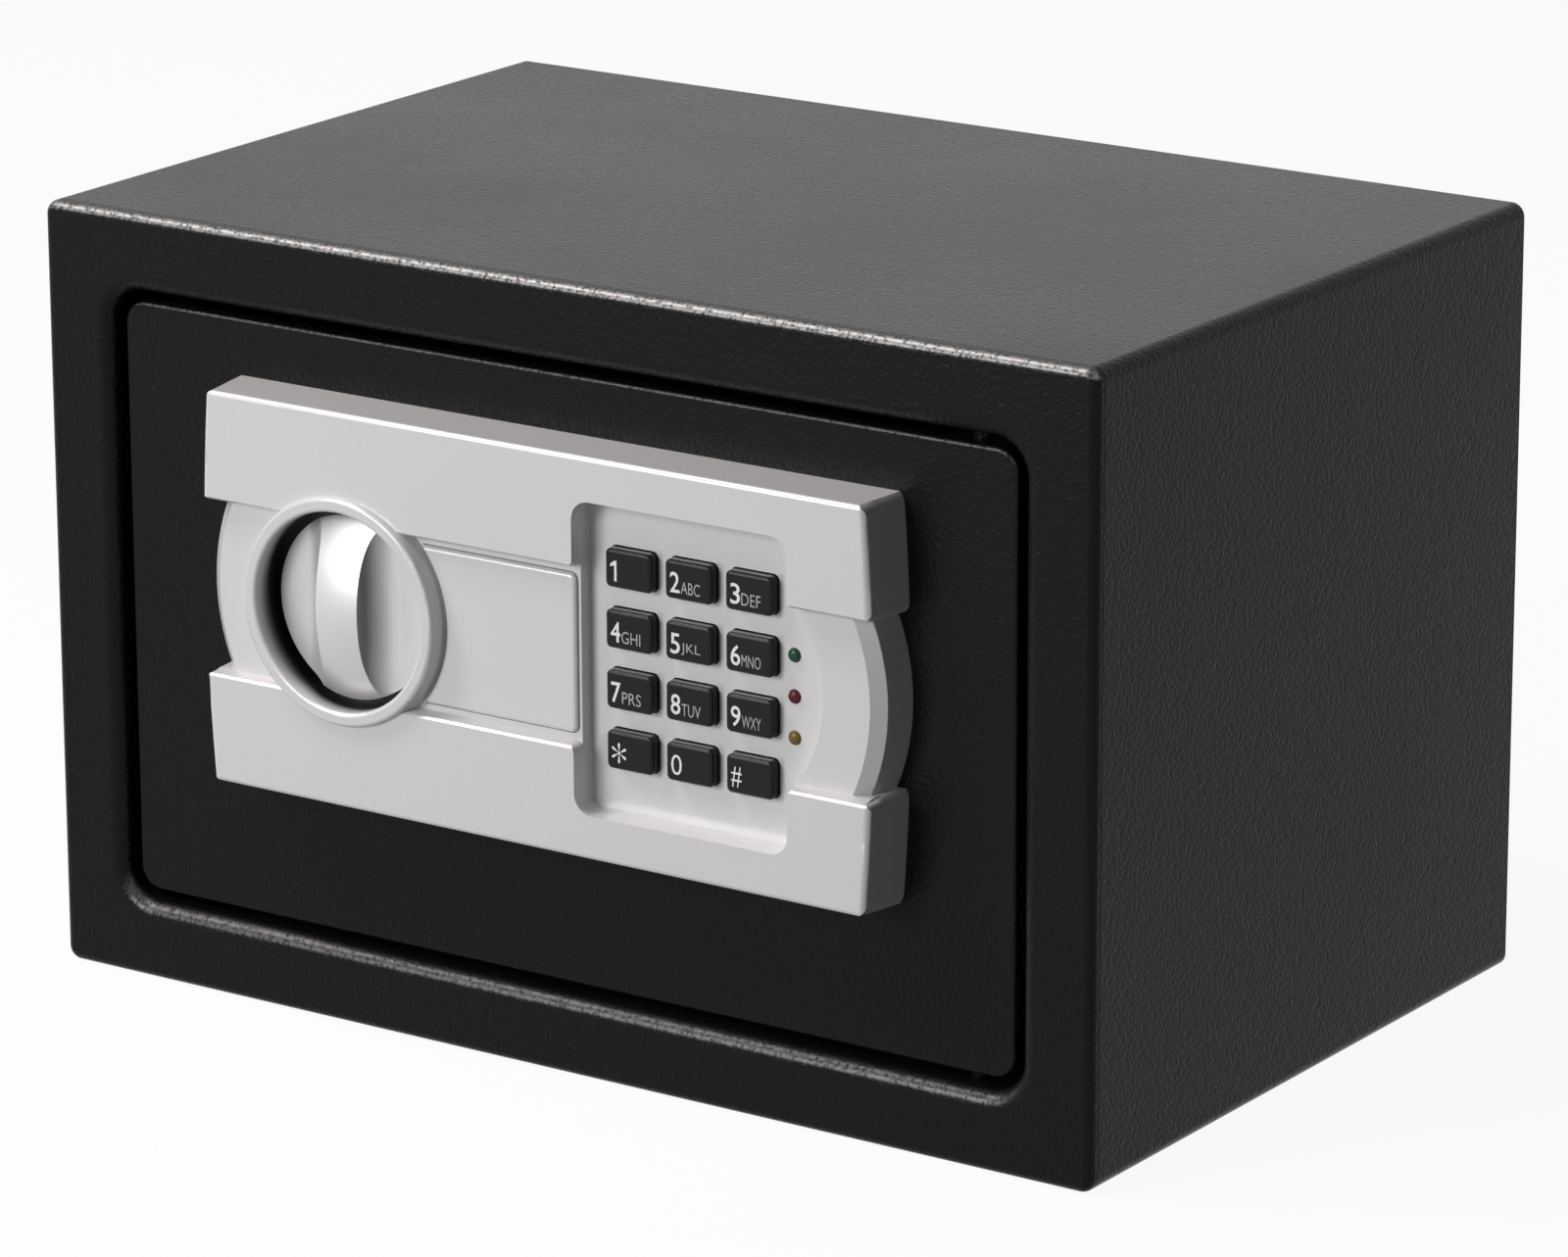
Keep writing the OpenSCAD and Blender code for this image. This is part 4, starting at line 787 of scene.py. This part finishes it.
def mixShaders(tree, share, plain, white, surface):
    mix = tree.nodes.new("ShaderNodeMixShader")
    tree.links.new(share, mix.inputs["Fac"])
    tree.links.new(plain, mix.inputs[1])
    tree.links.new(white, mix.inputs[2])
    tree.links.new(mix.outputs[0], surface)


def makeStage():
    bpy.ops.object.select_all(action="DESELECT")
    place = (0, 0, -stageLook["floorDrop"])
    bpy.ops.mesh.primitive_plane_add(size=stageLook["floorSize"], location=place)
    floor = named("floor")
    m, tree, shader = newMaterial("paleFloor")
    shader.inputs["Roughness"].default_value = stageLook["floorGloss"]
    shader.inputs["Specular IOR Level"].default_value = stageLook["floorSpecular"]
    seen = seenRays(tree)
    addColourMix(tree, shader, seen, stageLook["bounceColour"], stageLook["floorColour"])
    white = tree.nodes.new("ShaderNodeEmission")
    white.inputs["Color"].default_value = (1, 1, 1, 1)
    share = math2(tree, "MULTIPLY", seen, 1 - stageLook["shadowKept"])
    surface = tree.nodes["Material Output"].inputs["Surface"]
    mixShaders(tree, share, shader.outputs[0], white.outputs[0], surface)
    floor.data.materials.append(m)


def makeWorld():
    world = bpy.data.worlds.new("studio")
    bpy.context.scene.world = world
    world.use_nodes = True
    tree = world.node_tree
    back = tree.nodes["Background"]
    back.inputs["Color"].default_value = (1, 1, 1, 1)
    back.inputs["Strength"].default_value = stageLook["ambient"]
    white = tree.nodes.new("ShaderNodeBackground")
    white.inputs["Color"].default_value = (1, 1, 1, 1)
    surface = tree.nodes["World Output"].inputs["Surface"]
    mixShaders(tree, seenRays(tree), back.outputs[0], white.outputs[0], surface)


lampLooks = {
    "softKey": {
        "place": (-0.637, -1.564, 0.634), "aim": (-0.03, -0.1, 0.11),
        "size": (0.7, 0.7), "power": 19.2, "colour": (1, 1, 1),
    },
    "softTop": {
        "place": (-0.756, -0.49, 1.31), "aim": (0, -0.09, 0.12),
        "size": (0.25, 0.9), "power": 14, "colour": (1.0, 0.94, 0.91),
    },
}


def addLamp(name, look):
    data = bpy.data.lights.new(name, "AREA")
    data.shape = "RECTANGLE"
    data.size, data.size_y = look["size"]
    data.energy = look["power"]
    data.color = look["colour"]
    lamp = bpy.data.objects.new(name, data)
    bpy.context.scene.collection.objects.link(lamp)
    lamp.location = look["place"]
    lamp.rotation_mode = "QUATERNION"
    toAim = Vector(look["aim"]) - Vector(look["place"])
    lamp.rotation_quaternion = toAim.to_track_quat("-Z", "Y")


# focal is in pixels of the photograph, which is frameWidth pixels wide
cameraLook = {
    "azimuth": 34.375,
    "elevation": 16.41,
    "roll": -0.179,
    "distance": 1.883901,
    "target": (0.000237, 0.0, 0.089272),
    "focal": 7597.357,
    "frameWidth": 1600,
    "sensor": 36,
    "clip": (0.1, 60),
}


def makeCamera():
    data = bpy.data.cameras.new("view")
    data.sensor_width = cameraLook["sensor"]
    data.lens = cameraLook["focal"] * cameraLook["sensor"] / cameraLook["frameWidth"]
    data.clip_start, data.clip_end = cameraLook["clip"]
    cam = bpy.data.objects.new("view", data)
    bpy.context.scene.collection.objects.link(cam)
    a, e = math.radians(cameraLook["azimuth"]), math.radians(cameraLook["elevation"])
    back = Vector((math.sin(a) * math.cos(e), -math.cos(a) * math.cos(e), math.sin(e)))
    cam.location = Vector(cameraLook["target"]) + back * cameraLook["distance"]
    cam.rotation_mode = "QUATERNION"
    roll = Matrix.Rotation(math.radians(cameraLook["roll"]), 4, "Z").to_quaternion()
    cam.rotation_quaternion = (-back).to_track_quat("-Z", "Y") @ roll
    bpy.context.scene.camera = cam


makeStage()
makeWorld()
for name, look in lampLooks.items():
    addLamp(name, look)
makeCamera()
bpy.context.scene.view_settings.view_transform = "Standard"
print("stage, lights and camera ready")
